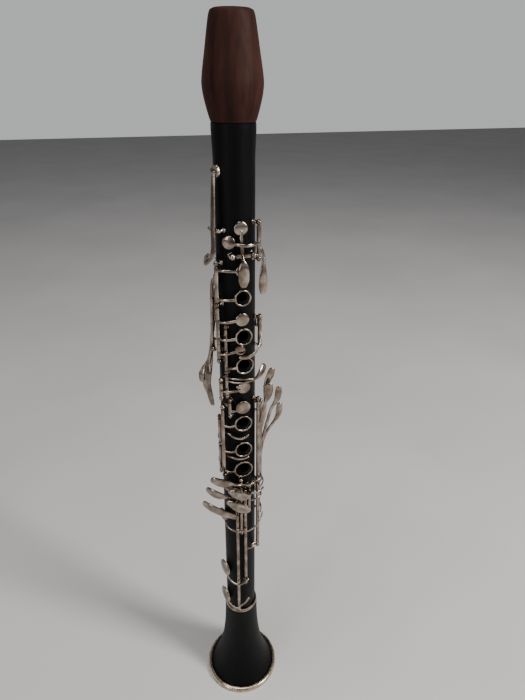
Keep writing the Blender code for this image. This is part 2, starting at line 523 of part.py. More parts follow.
def make_left_levers():
    """Four levers for the left little finger, each on its own long rod at the right side."""
    upright_key("left_lever_1", 46.0, STACK_RADIUS, 206.4, 376.6, [
        bar([(47.0, 21.4, 350.0, 2.6), (48.4, 23.4, 362.0, 2.6), (50.6, 25.4, 374.0, 2.8),
             (52.0, 27.0, 380.0, 3.4)], 1.9, facing=LEVER_FACING),
        bar([(51.4, 26.6, 377.6, 3.8), (53.2, 28.2, 382.6, 6.0), (54.0, 29.0, 388.4, 6.8),
             (53.6, 29.2, 392.6, 5.4)], 2.2, facing=LEVER_FACING),
        bar([(44.0, 20.4, 209.4, 2.2), (34.0, 19.6, 209.4, 2.2), (22.0, 18.9, 209.4, 2.4)], 1.3)])
    upright_key("left_lever_2", 61.0, STACK_RADIUS, 288.9, 371.6, [
        bar([(62.0, 21.4, 346.0, 2.6), (65.0, 23.6, 358.0, 2.8), (68.0, 24.0, 374.0, 2.8),
             (67.0, 23.8, 384.0, 3.0), (64.0, 24.6, 389.5, 3.4)], 1.9, facing=LEVER_FACING),
        bar([(65.0, 24.2, 387.6, 3.8), (62.6, 26.2, 393.6, 5.8), (61.8, 28.4, 400.2, 7.0),
             (61.6, 29.8, 405.6, 6.0)], 2.2, facing=LEVER_FACING),
        bar([(60.0, 21.0, 292.0, 2.2), (46.0, 23.5, 292.0, 2.2), (35.0, 22.2, 292.0, 2.2),
             (22.0, 19.4, 292.0, 2.4)], 1.3)])
    upright_key("left_lever_3", 76.0, STACK_RADIUS, 282.8, 367.6, [
        bar([(75.6, 21.4, 318.0, 2.6), (75.0, 22.8, 332.0, 2.8), (71.0, 26.0, 349.0, 2.8),
             (65.0, 29.2, 364.0, 3.0), (61.6, 33.2, 374.0, 3.4)], 1.9, facing=LEVER_FACING),
        bar([(62.4, 32.4, 371.6, 3.8), (60.6, 35.0, 377.6, 5.6), (59.4, 36.0, 384.6, 6.4),
             (59.0, 36.2, 389.6, 5.2)], 2.2, facing=LEVER_FACING),
        bar([(74.0, 21.2, 285.2, 2.2), (61.0, 23.4, 284.2, 2.2), (46.0, 23.4, 282.4, 2.2)], 1.2)])
    upright_key("left_lever_4", 93.0, STACK_RADIUS, 243.4, 355.6, [
        bar([(92.0, 21.4, 301.0, 2.6), (91.0, 22.8, 317.0, 2.8), (86.0, 26.2, 332.0, 2.8),
             (78.0, 31.4, 345.0, 3.0), (71.0, 34.4, 354.0, 3.4)], 1.9, facing=LEVER_FACING),
        bar([(72.4, 33.8, 351.6, 3.8), (70.0, 35.8, 357.6, 5.4), (68.6, 36.6, 364.4, 6.2),
             (68.2, 36.8, 369.2, 5.0)], 2.2, facing=LEVER_FACING),
        bar([(91.0, 20.6, 246.6, 2.2), (74.0, 21.2, 246.2, 2.2), (56.0, 21.4, 245.6, 2.4)], 1.2)])


def tone_holes():
    """Centre, direction and radius of every tone hole: open holes first, then holes under pads."""
    open_holes = [(1.0, 475.0, 3.3), (2.5, 442.0, 3.8), (4.5, 416.0, 4.1), (-1.0, 359.0, 4.4),
                  (-1.0, 331.0, 4.4), (-2.0, 308.6, 5.0), (180.0, 487.0, 3.8)]
    covered = [(-68.0, 566.5, 1.5), (-1.0, 528.0, 2.6), (-32.0, 517.6, 2.6), (-1.0, 496.6, 3.0),
               (-1.0, 457.0, 3.0), (-7.0, 430.4, 2.4), (86.0, 446.0, 2.6), (2.7, 394.3, 3.2),
               (-1.0, 375.4, 3.8), (-106.0, 338.0, 2.6), (-106.0, 312.0, 2.6), (-52.0, 286.4, 3.6),
               (-74.0, 246.5, 4.4), (-76.0, 171.0, 5.2), (-78.0, 129.0, 5.2), (69.0, 273.6, 3.0)]
    side = [(5.0, 486.0), (-1.0, 472.0), (-5.2, 460.4), (-9.4, 448.4)]
    holes = [(place(angle, 0.0, height), outward(angle), radius)
             for angle, height, radius in open_holes + covered]
    holes += [(beside_side_keys(offset, 0.0, height), outward(SIDE_ANGLE), 2.4) for offset, height in side]
    chimneys = [(place(angle, 0.0, height), outward(angle), radius + CHIMNEY_WALL)
                for angle, height, radius in open_holes]
    return holes, chimneys


def block(low, high):
    """Axis-aligned box between two corners."""
    data = bmesh.new()
    bmesh.ops.create_cube(data, size=1.0)
    size = Vector(high) - Vector(low)
    middle = (Vector(high) + Vector(low)) * 0.5
    shape = Matrix.Translation(middle) @ Matrix.Diagonal((*size, 1.0))
    bmesh.ops.transform(data, matrix=shape, verts=data.verts)
    return mesh_object("block", data)


def make_wood():
    """Body with its chimneys, holes and post holes, then the barrel, the bell and their rings and corks."""
    tenon = TENON_RADIUS - FIT_GAP
    shoulder = BELL_TOP + FIT_GAP
    top_radius = BODY_RADIUS + 0.8
    outline = [(BORE_RADIUS, 93.0), (tenon, 93.0), (tenon, shoulder), (BODY_RADIUS, shoulder),
               (BODY_RADIUS, 573.0), (top_radius, 592.0), (top_radius, BODY_TOP), (tenon, BODY_TOP),
               (tenon, 612.5), (BORE_RADIUS, 612.5)]
    body = turned(outline, BODY_SIDES)
    holes, chimneys = tone_holes()
    raised = [cylinder(spot + way * 11.5, spot + way * 16.4, radius, 12) for spot, way, radius in chimneys]
    drilled = [cylinder(spot + way * 5.0, spot + way * 19.0, radius, 10) for spot, way, radius in holes]
    drilled += [cylinder(foot - way * FIT_GAP, foot + way * 6.0, STEM_RADIUS + FIT_GAP, STEM_SIDES)
                for foot, way in POST_HOLES]
    finish("body_tube", [body] + raised, drilled, GRENADILLA)

    barrel = [(BORE_RADIUS, 613.2), (SOCKET_RADIUS, 613.2), (SOCKET_RADIUS, 597.3),
              (top_radius, 597.3), (17.0, 601.5),
              (18.4, 606.5), (20.0, 613.5), (20.75, 620.0), (20.4, 625.0), (19.7, 630.0), (18.05, 640.0),
              (16.5, 650.0), (15.2, 657.5), (14.4, 660.8), (13.4, BARREL_TOP), (SOCKET_RADIUS, BARREL_TOP),
              (SOCKET_RADIUS, 645.0), (BORE_RADIUS, 645.0)]
    finish("barrel", [turned(barrel, BODY_SIDES)], [], ROSEWOOD)

    bell = [(BORE_RADIUS, 92.4), (SOCKET_RADIUS, 92.4), (SOCKET_RADIUS, BELL_TOP), (17.25, BELL_TOP),
            (17.3, 98.0), (18.0, 80.0), (19.4, 63.0), (21.4, 48.0), (24.6, 33.0), (28.4, 20.5), (32.4, 11.0),
            (35.4, 5.6), (36.3, 0.4), (33.5, 0.4), (29.5, 4.0), (24.0, 11.0), (18.5, 24.0), (13.5, 45.0),
            (10.0, 68.0)]
    finish("bell", [turned(bell, BODY_SIDES + 4)], [], GRENADILLA)
    rim = [(36.6, 0.0), (38.6, 0.0), (39.7, 0.8), (RIM_RADIUS, 2.0), (39.7, 3.6), (38.6, 5.0), (36.8, 5.5)]
    finish("bell_rim_ring", [turned(rim, BODY_SIDES + 4)], [], CHAMPAGNE)
    collar = [(15.4, 108.4), (16.7, 108.4), (17.1, 109.3), (17.0, 112.0), (16.6, 113.4), (15.4, 113.4)]
    finish("bell_socket_ring", [turned(collar, BODY_SIDES)], [], NICKEL)
    for name, low, high in (("barrel_tenon_cork", 599.5, 610.5), ("bell_tenon_cork", 95.0, 106.0)):
        inner = TENON_RADIUS - 0.2
        band = [(inner, low), (SOCKET_RADIUS - 0.3, low), (SOCKET_RADIUS - 0.3, high), (inner, high)]
        finish(name, [turned(band, BODY_SIDES)], [], CORK)

    rest = [block((-6.0, 15.4, 287.0), (6.0, 17.0, 325.0)), block((-5.0, 16.4, 317.0), (5.0, 29.5, 319.4)),
            block((-5.0, 27.6, 318.6), (5.0, 29.5, 324.0))]
    finish("thumb_rest", rest, [], NICKEL)


def main():
    """Clear the scene and build every part."""
    for thing in list(bpy.data.objects):
        bpy.data.objects.remove(thing)
    make_rods()
    make_upper_keys()
    make_lower_keys()
    make_left_levers()
    make_wood()


main()
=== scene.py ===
"""Looks of the full-Boehm A clarinet: a finer piece replaces every CAD node in the same place.

Lengths here are millimetres and angles are degrees, and meshes are written in metres. The
floor, the lamps and the camera are placed in metres.
A place on the instrument is (angle, radius, height): the angle runs round the bore from the
front, positive towards +X.
"""
import json
import math

import bmesh
import bpy
from mathutils import Matrix, Vector


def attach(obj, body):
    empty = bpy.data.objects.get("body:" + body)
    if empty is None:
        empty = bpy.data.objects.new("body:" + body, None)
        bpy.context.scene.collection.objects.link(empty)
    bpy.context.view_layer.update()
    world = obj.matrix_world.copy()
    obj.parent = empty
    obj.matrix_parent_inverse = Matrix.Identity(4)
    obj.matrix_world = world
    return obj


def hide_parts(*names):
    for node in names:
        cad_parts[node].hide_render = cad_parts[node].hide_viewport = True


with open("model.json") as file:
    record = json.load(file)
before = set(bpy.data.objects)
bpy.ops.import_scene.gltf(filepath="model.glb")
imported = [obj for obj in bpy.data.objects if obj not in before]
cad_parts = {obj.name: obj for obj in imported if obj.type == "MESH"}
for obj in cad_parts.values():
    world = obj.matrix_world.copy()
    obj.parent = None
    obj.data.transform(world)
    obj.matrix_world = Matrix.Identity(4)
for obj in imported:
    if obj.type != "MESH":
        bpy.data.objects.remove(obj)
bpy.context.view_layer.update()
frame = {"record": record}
node_body = {node: body for body, nodes in frame["record"]["behaviour"]["bodies"].items()
             for node in nodes}

MM = 0.001

# Driving dimensions of the wooden parts.
BODY_RADIUS = 15.0
TOP_RADIUS = BODY_RADIUS + 0.8
BORE_RADIUS = 7.5
BELL_TOP = 108.0
BODY_TOP = 597.0
BARREL_TOP = 662.0
RIM_RADIUS = 40.0
SOCKET_RADIUS = 11.8
TENON_RADIUS = 10.9
FIT_GAP = 0.3
CHIMNEY_WALL = 1.2

# Driving dimensions of the keywork.
STACK_RADIUS = 20.0
INNER_RADIUS = 17.2
FRONT_RADIUS = 19.5
STEEL_RADIUS = 0.7
TUBE_RADIUS = 1.7
THIN_TUBE = 1.5
BALL_RADIUS = 2.1
SMALL_BALL = 1.8
STEM_RADIUS = 1.2
POST_FOOT = 12.4
SLOT_HALF_WIDTH = 0.16
SPRING_RADIUS = 0.25
CUP_REST = 15.35
CUP_OPEN = 16.85
RING_REST = 17.6
RING_WALL = 1.4
RING_THICKNESS = 1.3
SIDE_ANGLE = -102.0
SIDE_HEIGHT = 428.0
THUMB_ROD_ANGLE = -144.0
FORK_ANGLE = -77.0
FORK_RADIUS = 18.6
LEVER_FACING = 0.0
TOUCH_FACING = 4.0

# Sections of bars: wider ones are finger touches, with a flatter underside.
TOUCH_WIDTH = 3.4
TOUCH_UNDERSIDE = 0.7
BAR_SQUARENESS = 0.8
BAR_END_REACH = 0.42

# Facet counts.
BODY_SIDES = 144
HOLE_SIDES = 40
TUBE_SIDES = 24
HOOK_SIDES = 24
CUP_SIDES = 48
RING_SIDES = 64
RING_SECTION_SIDES = 14
BAR_SIDES = 16
STEM_SIDES = 20
BALL_SIDES = 20
BALL_ROWS = 12
WIRE_SIDES = 10
PEG_SIDES = 8
SCREW_STEPS = 12
BAR_STEPS = 7
END_STEPS = 4
CORNER_STEPS = 4

# Edges sharper than this stay sharp, in degrees.
SHARP_EDGE = 38.0

# The camera, in metres, with its lens and sensor in millimetres and its roll in degrees.
CAMERA_SPOT = (-0.1015, -0.3768, 0.6261)
CAMERA_FORWARD = (0.2766, 0.8412, -0.4647)
CAMERA_ROLL = 0.53
CAMERA_LENS = 27.05
CAMERA_SENSOR = 36.0
CAMERA_NEAR = 0.02


def place(angle, radius, height):
    """Point at an angle from the front, a radius from the bore axis and a height."""
    turn = math.radians(angle)
    return Vector((radius * math.sin(turn), -radius * math.cos(turn), height))


def outward(angle):
    """Unit vector pointing away from the bore."""
    return place(angle, 1.0, 0.0)


def sideways(angle):
    """Unit vector round the body, towards larger angles."""
    return Vector((math.cos(math.radians(angle)), math.sin(math.radians(angle)), 0.0))


def beside(angle, offset, radius, height):
    """Point in a plane touching the body: offset sideways, radius outwards at the given angle."""
    return outward(angle) * radius + sideways(angle) * offset + Vector((0.0, 0.0, height))


def put_in_scene(name, data):
    """New object with this data, linked to the scene."""
    thing = bpy.data.objects.new(name, data)
    bpy.context.scene.collection.objects.link(thing)
    return thing


def mesh_object(name, mesh_data):
    """Turn a bmesh in millimetres into an object in metres."""
    bmesh.ops.recalc_face_normals(mesh_data, faces=mesh_data.faces)
    bmesh.ops.scale(mesh_data, vec=(MM, MM, MM), verts=mesh_data.verts)
    mesh = bpy.data.meshes.new(name)
    mesh_data.to_mesh(mesh)
    mesh_data.free()
    return put_in_scene(name, mesh)


def turned(profile, sides, origin=(0.0, 0.0, 0.0), axis=(0.0, 0.0, 1.0)):
    """Closed solid of revolution from (radius, height) pairs; a zero radius closes an end."""
    data = bmesh.new()
    tilt = Vector((0.0, 0.0, 1.0)).rotation_difference(Vector(axis)).to_matrix()
    rings = []
    for radius, height in profile:
        if radius < 1e-6:
            rings.append([data.verts.new(tilt @ Vector((0.0, 0.0, height)) + Vector(origin))])
            continue
        ring = []
        for step in range(sides):
            turn = 2.0 * math.pi * step / sides
            spot = Vector((radius * math.cos(turn), radius * math.sin(turn), height))
            ring.append(data.verts.new(tilt @ spot + Vector(origin)))
        rings.append(ring)
    closed_loop = len(rings[0]) > 1 and len(rings[-1]) > 1
    pairs = list(zip(rings, rings[1:]))
    if closed_loop:
        pairs.append((rings[-1], rings[0]))
    for lower, upper in pairs:
        for step in range(sides):
            after = (step + 1) % sides
            if len(lower) == 1:
                data.faces.new((lower[0], upper[after], upper[step]))
            elif len(upper) == 1:
                data.faces.new((lower[step], lower[after], upper[0]))
            else:
                data.faces.new((lower[step], lower[after], upper[after], upper[step]))
    return mesh_object("turned", data)


def cylinder(start, end, radius, sides=TUBE_SIDES):
    """Solid cylinder between two points."""
    span = end - start
    profile = [(0.0, 0.0), (radius, 0.0), (radius, span.length), (0.0, span.length)]
    return turned(profile, sides, start, span.normalized())


def ball(centre, radius, axis):
    """Smooth sphere with its poles on the given axis."""
    profile = []
    for row in range(BALL_ROWS + 1):
        turn = math.pi * row / BALL_ROWS
        across = radius * math.sin(turn) if 0 < row < BALL_ROWS else 0.0
        profile.append((across, -radius * math.cos(turn)))
    return turned(profile, BALL_SIDES, centre, axis)


def smooth_path(stations):
    """Catmull-Rom path through stations of equal-length tuples."""
    path = []
    last = len(stations) - 1
    for index in range(last):
        before = stations[max(index - 1, 0)]
        here = stations[index]
        after = stations[index + 1]
        beyond = stations[min(index + 2, last)]
        for step in range(BAR_STEPS):
            t = step / BAR_STEPS
            point = []
            for a, b, c, d in zip(before, here, after, beyond):
                point.append(0.5 * (2.0 * b + (c - a) * t + (2.0 * a - 5.0 * b + 4.0 * c - d) * t * t
                                    + (3.0 * b - a - 3.0 * c + d) * t ** 3))
            path.append(tuple(point))
    path.append(tuple(stations[-1]))
    return path


def squared(value, power):
    """Power of a sine or cosine that keeps its sign, which squares off a round section."""
    return math.copysign(abs(value) ** power, value)


def skin(data, rings):
    """Add the faces between rings of vertices, and close both ends."""
    for lower, upper in zip(rings, rings[1:]):
        for side in range(len(lower)):
            after = (side + 1) % len(lower)
            data.faces.new((lower[side], lower[after], upper[after], upper[side]))
    data.faces.new(list(reversed(rings[0])))
    data.faces.new(rings[-1])


def bar(stations, thickness=1.5, locate=place, facing=None):
    """Flattened bar with rounded ends through (angle, radius, height, width) stations.

    The thickness points away from the bore, or towards the facing angle if there is one.
    """
    path = smooth_path(stations)
    centres = [locate(*station[:3]) for station in path]
    data = bmesh.new()
    sections = []
    for index, (centre, station) in enumerate(zip(centres, path)):
        ahead = centres[min(index + 1, len(centres) - 1)] - centres[max(index - 1, 0)]
        ahead.normalize()
        flat = Vector((centre.x, centre.y, 0.0)).normalized() if facing is None else outward(facing)
        across = ahead.cross(flat).normalized()
        sections.append([centre, ahead, across, across.cross(ahead).normalized(), station[3], 1.0])
    for end in (0, -1):
        centre, ahead, across, rise, width, _ = sections[end]
        caps = []
        for step in range(1, END_STEPS + 1):
            turn = 0.5 * math.pi * step / (END_STEPS + 0.35)
            reach = BAR_END_REACH * width * math.sin(turn)
            spot = centre + ahead * (reach if end else -reach)
            caps.append([spot, ahead, across, rise, width, math.cos(turn)])
        sections = list(reversed(caps)) + sections if end == 0 else sections + caps
    rings = []
    for centre, ahead, across, rise, width, size in sections:
        ring = []
        for side in range(BAR_SIDES):
            turn = 2.0 * math.pi * (side + 0.5) / BAR_SIDES
            wide = squared(math.cos(turn), BAR_SQUARENESS)
            high = squared(math.sin(turn), BAR_SQUARENESS)
            if high < 0.0 and width > TOUCH_WIDTH:
                high *= TOUCH_UNDERSIDE
            shift = across * (width * 0.5 * size * wide) + rise * (thickness * 0.5 * size ** 0.6 * high)
            ring.append(data.verts.new(centre + shift))
        rings.append(ring)
    skin(data, rings)
    return mesh_object("bar", data)


# Pads wait here until the key that carries them gets its name.
WAITING_PADS = []


def cup(angle, radius, height, diameter, thickness=2.4):
    """Pad cup with a rolled rim and a shallow dome; its pad is a separate piece."""
    return cup_at(place(angle, radius, height), outward(angle), diameter * 0.5, thickness)


def cup_at(spot, way, rim, thickness):
    """Pad cup on a given spot, facing the bore, with its pad."""
    lip = thickness * 0.34
    profile = [(0.0, lip + 0.2), (rim - 0.5, lip + 0.2), (rim - 0.45, lip), (rim - 0.12, lip),
               (rim, lip + 0.15), (rim, thickness * 0.62), (rim * 0.985, thickness * 0.72),
               (rim * 0.93, thickness * 0.82), (rim * 0.8, thickness * 0.885),
               (rim * 0.6, thickness * 0.94), (rim * 0.32, thickness * 0.985), (0.0, thickness)]
    edge = rim - 0.35
    pad = turned([(0.0, 0.06), (edge - 1.1, 0.0), (edge - 0.5, 0.06), (edge - 0.1, 0.3), (edge, 0.6),
                  (edge - 0.08, lip + 0.15), (0.0, lip + 0.15)], CUP_SIDES, spot, way)
    WAITING_PADS.append(pad)
    return turned(profile, CUP_SIDES, spot, way)


def finger_ring(angle, height, diameter, wall=RING_WALL):
    """Finger ring with a rounded section, its lower face where rings rest."""
    middle = diameter * 0.5 - wall * 0.5
    profile = []
    for step in range(RING_SECTION_SIDES):
        turn = 2.0 * math.pi * step / RING_SECTION_SIDES
        wide = squared(math.cos(turn), 0.75)
        high = squared(math.sin(turn), 0.75)
        profile.append((middle + wall * 0.5 * wide, RING_THICKNESS * 0.5 * (1.0 + high)))
    return turned(profile, RING_SIDES, place(angle, RING_REST, height), outward(angle))


def join(name, pieces):
    """Join the pieces into one mesh with the given name."""
    data = bmesh.new()
    for piece in pieces:
        data.from_mesh(piece.data)
        mesh = piece.data
        bpy.data.objects.remove(piece)
        bpy.data.meshes.remove(mesh)
    mesh = bpy.data.meshes.new(name)
    data.to_mesh(mesh)
    data.free()
    return put_in_scene(name, mesh)


def dress(thing, node, look, stands_for=True):
    """Give a piece its finish and its body, and let it stand for its CAD node if it does."""
    thing.data.materials.clear()
    thing.data.materials.append(FINISHES[look])
    thing.data.shade_smooth()
    thing.data.set_sharp_from_angle(angle=math.radians(SHARP_EDGE))
    if stands_for:
        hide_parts(node)
    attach(thing, node_body[node])


def finish(name, pieces, look):
    """Join the pieces of a key or rod, and hang its pads on it."""
    dress(join(name + "_fine", pieces), name, look)
    for number, pad in enumerate(WAITING_PADS, start=1):
        pad.name = "%s_pad_%d" % (name, number)
        dress(pad, name, "pad", False)
    WAITING_PADS.clear()


def new_material(name):
    """Material with a Principled shader; returns it with its node tree and shader."""
    material = bpy.data.materials.new(name)
    material.use_nodes = True
    tree = material.node_tree
    return material, tree, tree.nodes["Principled BSDF"]


def texture(tree, kind, scale, stretch=(1.0, 1.0, 1.0), detail=4.0):
    """Procedural texture in object coordinates, stretched along an axis; returns its node."""
    where = tree.nodes.new("ShaderNodeTexCoord")
    mapping = tree.nodes.new("ShaderNodeMapping")
    mapping.inputs["Scale"].default_value = stretch
    tree.links.new(where.outputs["Object"], mapping.inputs["Vector"])
    node = tree.nodes.new(kind)
    node.inputs["Scale"].default_value = scale
    if "Detail" in node.inputs:
        node.inputs["Detail"].default_value = detail
    tree.links.new(mapping.outputs["Vector"], node.inputs["Vector"])
    return node


def ramp(tree, source, stops):
    """Colour ramp over (position, colour) stops; returns its colour output."""
    node = tree.nodes.new("ShaderNodeValToRGB")
    elements = node.color_ramp.elements
    while len(elements) < len(stops):
        elements.new(0.5)
    for element, (position, colour) in zip(elements, stops):
        element.position = position
        element.color = (*colour, 1.0)
    tree.links.new(source, node.inputs["Fac"])
    return node.outputs["Color"]


def spread(tree, source, low, high):
    """Map the middle of a noise's range, 0.3 to 0.7, onto low to high."""
    node = tree.nodes.new("ShaderNodeMapRange")
    node.inputs["From Min"].default_value = 0.3
    node.inputs["From Max"].default_value = 0.7
    node.inputs["To Min"].default_value = low
    node.inputs["To Max"].default_value = high
    tree.links.new(source, node.inputs["Value"])
    return node.outputs["Result"]


def bump(tree, shader, source, strength, distance):
    """Add a bump to the shader, on top of any bump it has."""
    node = tree.nodes.new("ShaderNodeBump")
    node.inputs["Strength"].default_value = strength
    node.inputs["Distance"].default_value = distance
    tree.links.new(source, node.inputs["Height"])
    if shader.inputs["Normal"].links:
        tree.links.new(shader.inputs["Normal"].links[0].from_socket, node.inputs["Normal"])
    tree.links.new(node.outputs["Normal"], shader.inputs["Normal"])


def metal(name, dark, mid, light, smooth, rough):
    """Worn plated metal: cloudy tarnish, smudged gloss and fine scratches; the nickel and steel colours
    passed in are also kept dark and warm as a painted brown reflection.
    """
    material, tree, shader = new_material(name)
    shader.inputs["Metallic"].default_value = 1.0
    cloud = texture(tree, "ShaderNodeTexNoise", 130.0, detail=6.0)
    stops = [(0.32, dark), (0.5, mid), (0.68, light)]
    tree.links.new(ramp(tree, cloud.outputs["Fac"], stops), shader.inputs["Base Color"])
    smudge = texture(tree, "ShaderNodeTexNoise", 420.0, detail=5.0)
    tree.links.new(spread(tree, smudge.outputs["Fac"], smooth, rough), shader.inputs["Roughness"])
    scratch = texture(tree, "ShaderNodeTexNoise", 1500.0, (1.0, 1.0, 0.08), 3.0)
    bump(tree, shader, scratch.outputs["Fac"], 0.05, 0.00003)
    dent = texture(tree, "ShaderNodeTexNoise", 260.0, detail=2.0)
    bump(tree, shader, dent.outputs["Fac"], 0.03, 0.0002)
    return material


def wood(name, stops, roughness, grain_scale):
    """Turned wood with its grain along the bore and open pores."""
    material, tree, shader = new_material(name)
    grain = texture(tree, "ShaderNodeTexNoise", grain_scale, (1.0, 1.0, 0.09), 8.0)
    tree.links.new(ramp(tree, grain.outputs["Fac"], stops), shader.inputs["Base Color"])
    pores = texture(tree, "ShaderNodeTexNoise", grain_scale * 6.0, (1.0, 1.0, 0.05), 3.0)
    tree.links.new(spread(tree, pores.outputs["Fac"], roughness - 0.06, roughness + 0.09),
                   shader.inputs["Roughness"])
    bump(tree, shader, pores.outputs["Fac"], 0.22, 0.00012)
    shader.inputs["Specular IOR Level"].default_value = 0.10
    return material


def soft(name, low, high, roughness, scale):
    """Cork or pad skin: two mottled colours and a fine matt bump."""
    material, tree, shader = new_material(name)
    spots = texture(tree, "ShaderNodeTexVoronoi", scale, detail=2.0)
    colour = ramp(tree, spots.outputs["Distance"], [(0.1, low), (0.6, high)])
    tree.links.new(colour, shader.inputs["Base Color"])
    shader.inputs["Roughness"].default_value = roughness
    fine = texture(tree, "ShaderNodeTexNoise", scale * 1.7, detail=4.0)
    bump(tree, shader, fine.outputs["Fac"], 0.4, 0.0002)
    return material


FINISHES = {
    # Nickel and steel colours are partly tarnish and partly painted reflection: kept dark and warm to
    # stand in for a brown floor mirrored in the keys.
    "nickel": metal("worn_nickel_silver_and_painted_reflection", (0.15, 0.108, 0.08), (0.28, 0.222, 0.18),
                    (0.47, 0.405, 0.35), 0.10, 0.24),
    "steel": metal("pivot_steel", (0.12, 0.088, 0.066), (0.23, 0.184, 0.15),
                   (0.40, 0.35, 0.31), 0.14, 0.30),
    "rim": metal("bell_ring_metal", (0.40, 0.315, 0.215), (0.54, 0.445, 0.32),
                 (0.66, 0.58, 0.46), 0.20, 0.36),
    "blued": metal("blued_spring_steel", (0.05, 0.06, 0.10), (0.08, 0.10, 0.16),
                   (0.14, 0.16, 0.22), 0.25, 0.40),
    "grenadilla": wood("oiled_grenadilla",
                       [(0.3, (0.0009, 0.0009, 0.0011)), (0.55, (0.0018, 0.0016, 0.0018)),
                        (0.75, (0.0048, 0.0036, 0.0034))], 0.44, 320.0),
    "rosewood": wood("oiled_rosewood",
                     [(0.28, (0.0120, 0.0048, 0.0036)), (0.45, (0.0240, 0.0084, 0.0060)),
                      (0.58, (0.0360, 0.0120, 0.0082)), (0.75, (0.0520, 0.0178, 0.0115))],
                     0.60, 150.0),
    "cork": soft("tenon_cork", (0.36, 0.22, 0.11), (0.66, 0.47, 0.28), 0.85, 900.0),
    "pad": soft("pad_skin", (0.50, 0.40, 0.28), (0.72, 0.62, 0.47), 0.6, 700.0),
}


def post(point, direction, ball_radius=BALL_RADIUS):
    """Ball-headed post with a waisted stem and a collar where it meets the wood."""
    axial = point.dot(direction)
    aside = point - direction * axial
    aside.z = 0.0
    seat = math.sqrt(max(BODY_RADIUS ** 2 - aside.length ** 2, 1.0))
    foot = point - direction * (axial - POST_FOOT)
    to_seat = seat - POST_FOOT
    length = axial - POST_FOOT
    profile = [(0.0, 0.0), (STEM_RADIUS, 0.0), (STEM_RADIUS, to_seat - 0.2),
               (STEM_RADIUS + 0.75, to_seat - 0.15), (STEM_RADIUS + 0.8, to_seat + 0.35),
               (STEM_RADIUS + 0.3, to_seat + 0.65), (STEM_RADIUS - 0.1, to_seat + 1.2),
               (STEM_RADIUS, length - ball_radius * 0.6), (0.0, length)]
    return [ball(point, ball_radius, direction), turned(profile, STEM_SIDES, foot, direction)]


def screw(point, axis, radius=1.05, height=0.45):
    """Slotted screw head: two half discs with the slot between, on a shorter core."""
    halves = []
    side = Vector((0.0, 0.0, 1.0)).cross(axis)
    side = side.normalized() if side.length > 0.1 else Vector((1.0, 0.0, 0.0))
    forth = axis.cross(side).normalized()
    for sign in (-1.0, 1.0):
        data = bmesh.new()
        outline = []
        for step in range(SCREW_STEPS + 1):
            turn = math.pi * step / SCREW_STEPS
            reach = SLOT_HALF_WIDTH + (radius - SLOT_HALF_WIDTH) * math.sin(turn)
            outline.append(side * (radius * math.cos(turn)) + forth * (sign * reach))
        low = [data.verts.new(point + spot) for spot in outline]
        high = [data.verts.new(point + spot * 0.93 + axis * height) for spot in outline]
        skin(data, [low, high])
        halves.append(mesh_object("screw", data))
    halves.append(cylinder(point - axis * 0.6, point + axis * (height * 0.35), radius * 0.98, STEM_SIDES))
    return halves


def rod_screws(ends, ball_radius):
    """Screw heads on the outer sides of a rod's two end posts."""
    way = (ends[1] - ends[0]).normalized()
    stand_off = way * (ball_radius - 0.2)
    return screw(ends[1] + stand_off, way) + screw(ends[0] - stand_off, -way)


def needle_spring(node, angle, radius, height):
    """Blued needle spring beside a key's tube, riding on the key."""
    foot = place(angle, radius - 2.4, height - 6.5)
    tip = place(angle, radius - 2.0, height + 3.0)
    wire = cylinder(foot, tip, SPRING_RADIUS, WIRE_SIDES)
    wire.name = node + "_spring"
    dress(wire, node, "blued", False)


def hinge_rod(name, ends, post_spots, angle, ball_radius):
    """Steel hinge rod between two ends, with its posts and the screw heads on the outer ones."""
    pieces = [cylinder(ends[0], ends[1], STEEL_RADIUS, STEM_SIDES)]
    for spot in post_spots:
        pieces += post(spot, outward(angle), ball_radius)
    pieces += rod_screws(ends, ball_radius)
    finish(name, pieces, "steel")


def straight_rod(name, angle, radius, heights, ball_radius=BALL_RADIUS):
    """Upright steel hinge rod with a post at every height."""
    ends = [place(angle, radius, min(heights)), place(angle, radius, max(heights))]
    hinge_rod(name, ends, [place(angle, radius, height) for height in heights], angle, ball_radius)


def cross_rod(name, angle, radius, height, half_span, ball_radius=BALL_RADIUS):
    """Hinge rod lying across the body between two posts."""
    ends = [beside(angle, side * half_span, radius, height) for side in (-1.0, 1.0)]
    hinge_rod(name, ends, ends, angle, ball_radius)


def upright_key(name, angle, radius, low, high, pieces, tube=TUBE_RADIUS):
    """Key whose tube runs up a rod from low to high."""
    sleeve = cylinder(place(angle, radius, low), place(angle, radius, high), tube)
    finish(name, [sleeve] + pieces, "nickel")


def cross_key(name, angle, radius, height, from_side, to_side, pieces, tube=TUBE_RADIUS):
    """Key whose tube lies across the body on a cross rod."""
    start = beside(angle, from_side, radius, height)
    end = beside(angle, to_side, radius, height)
    finish(name, [cylinder(start, end, tube)] + pieces, "nickel")


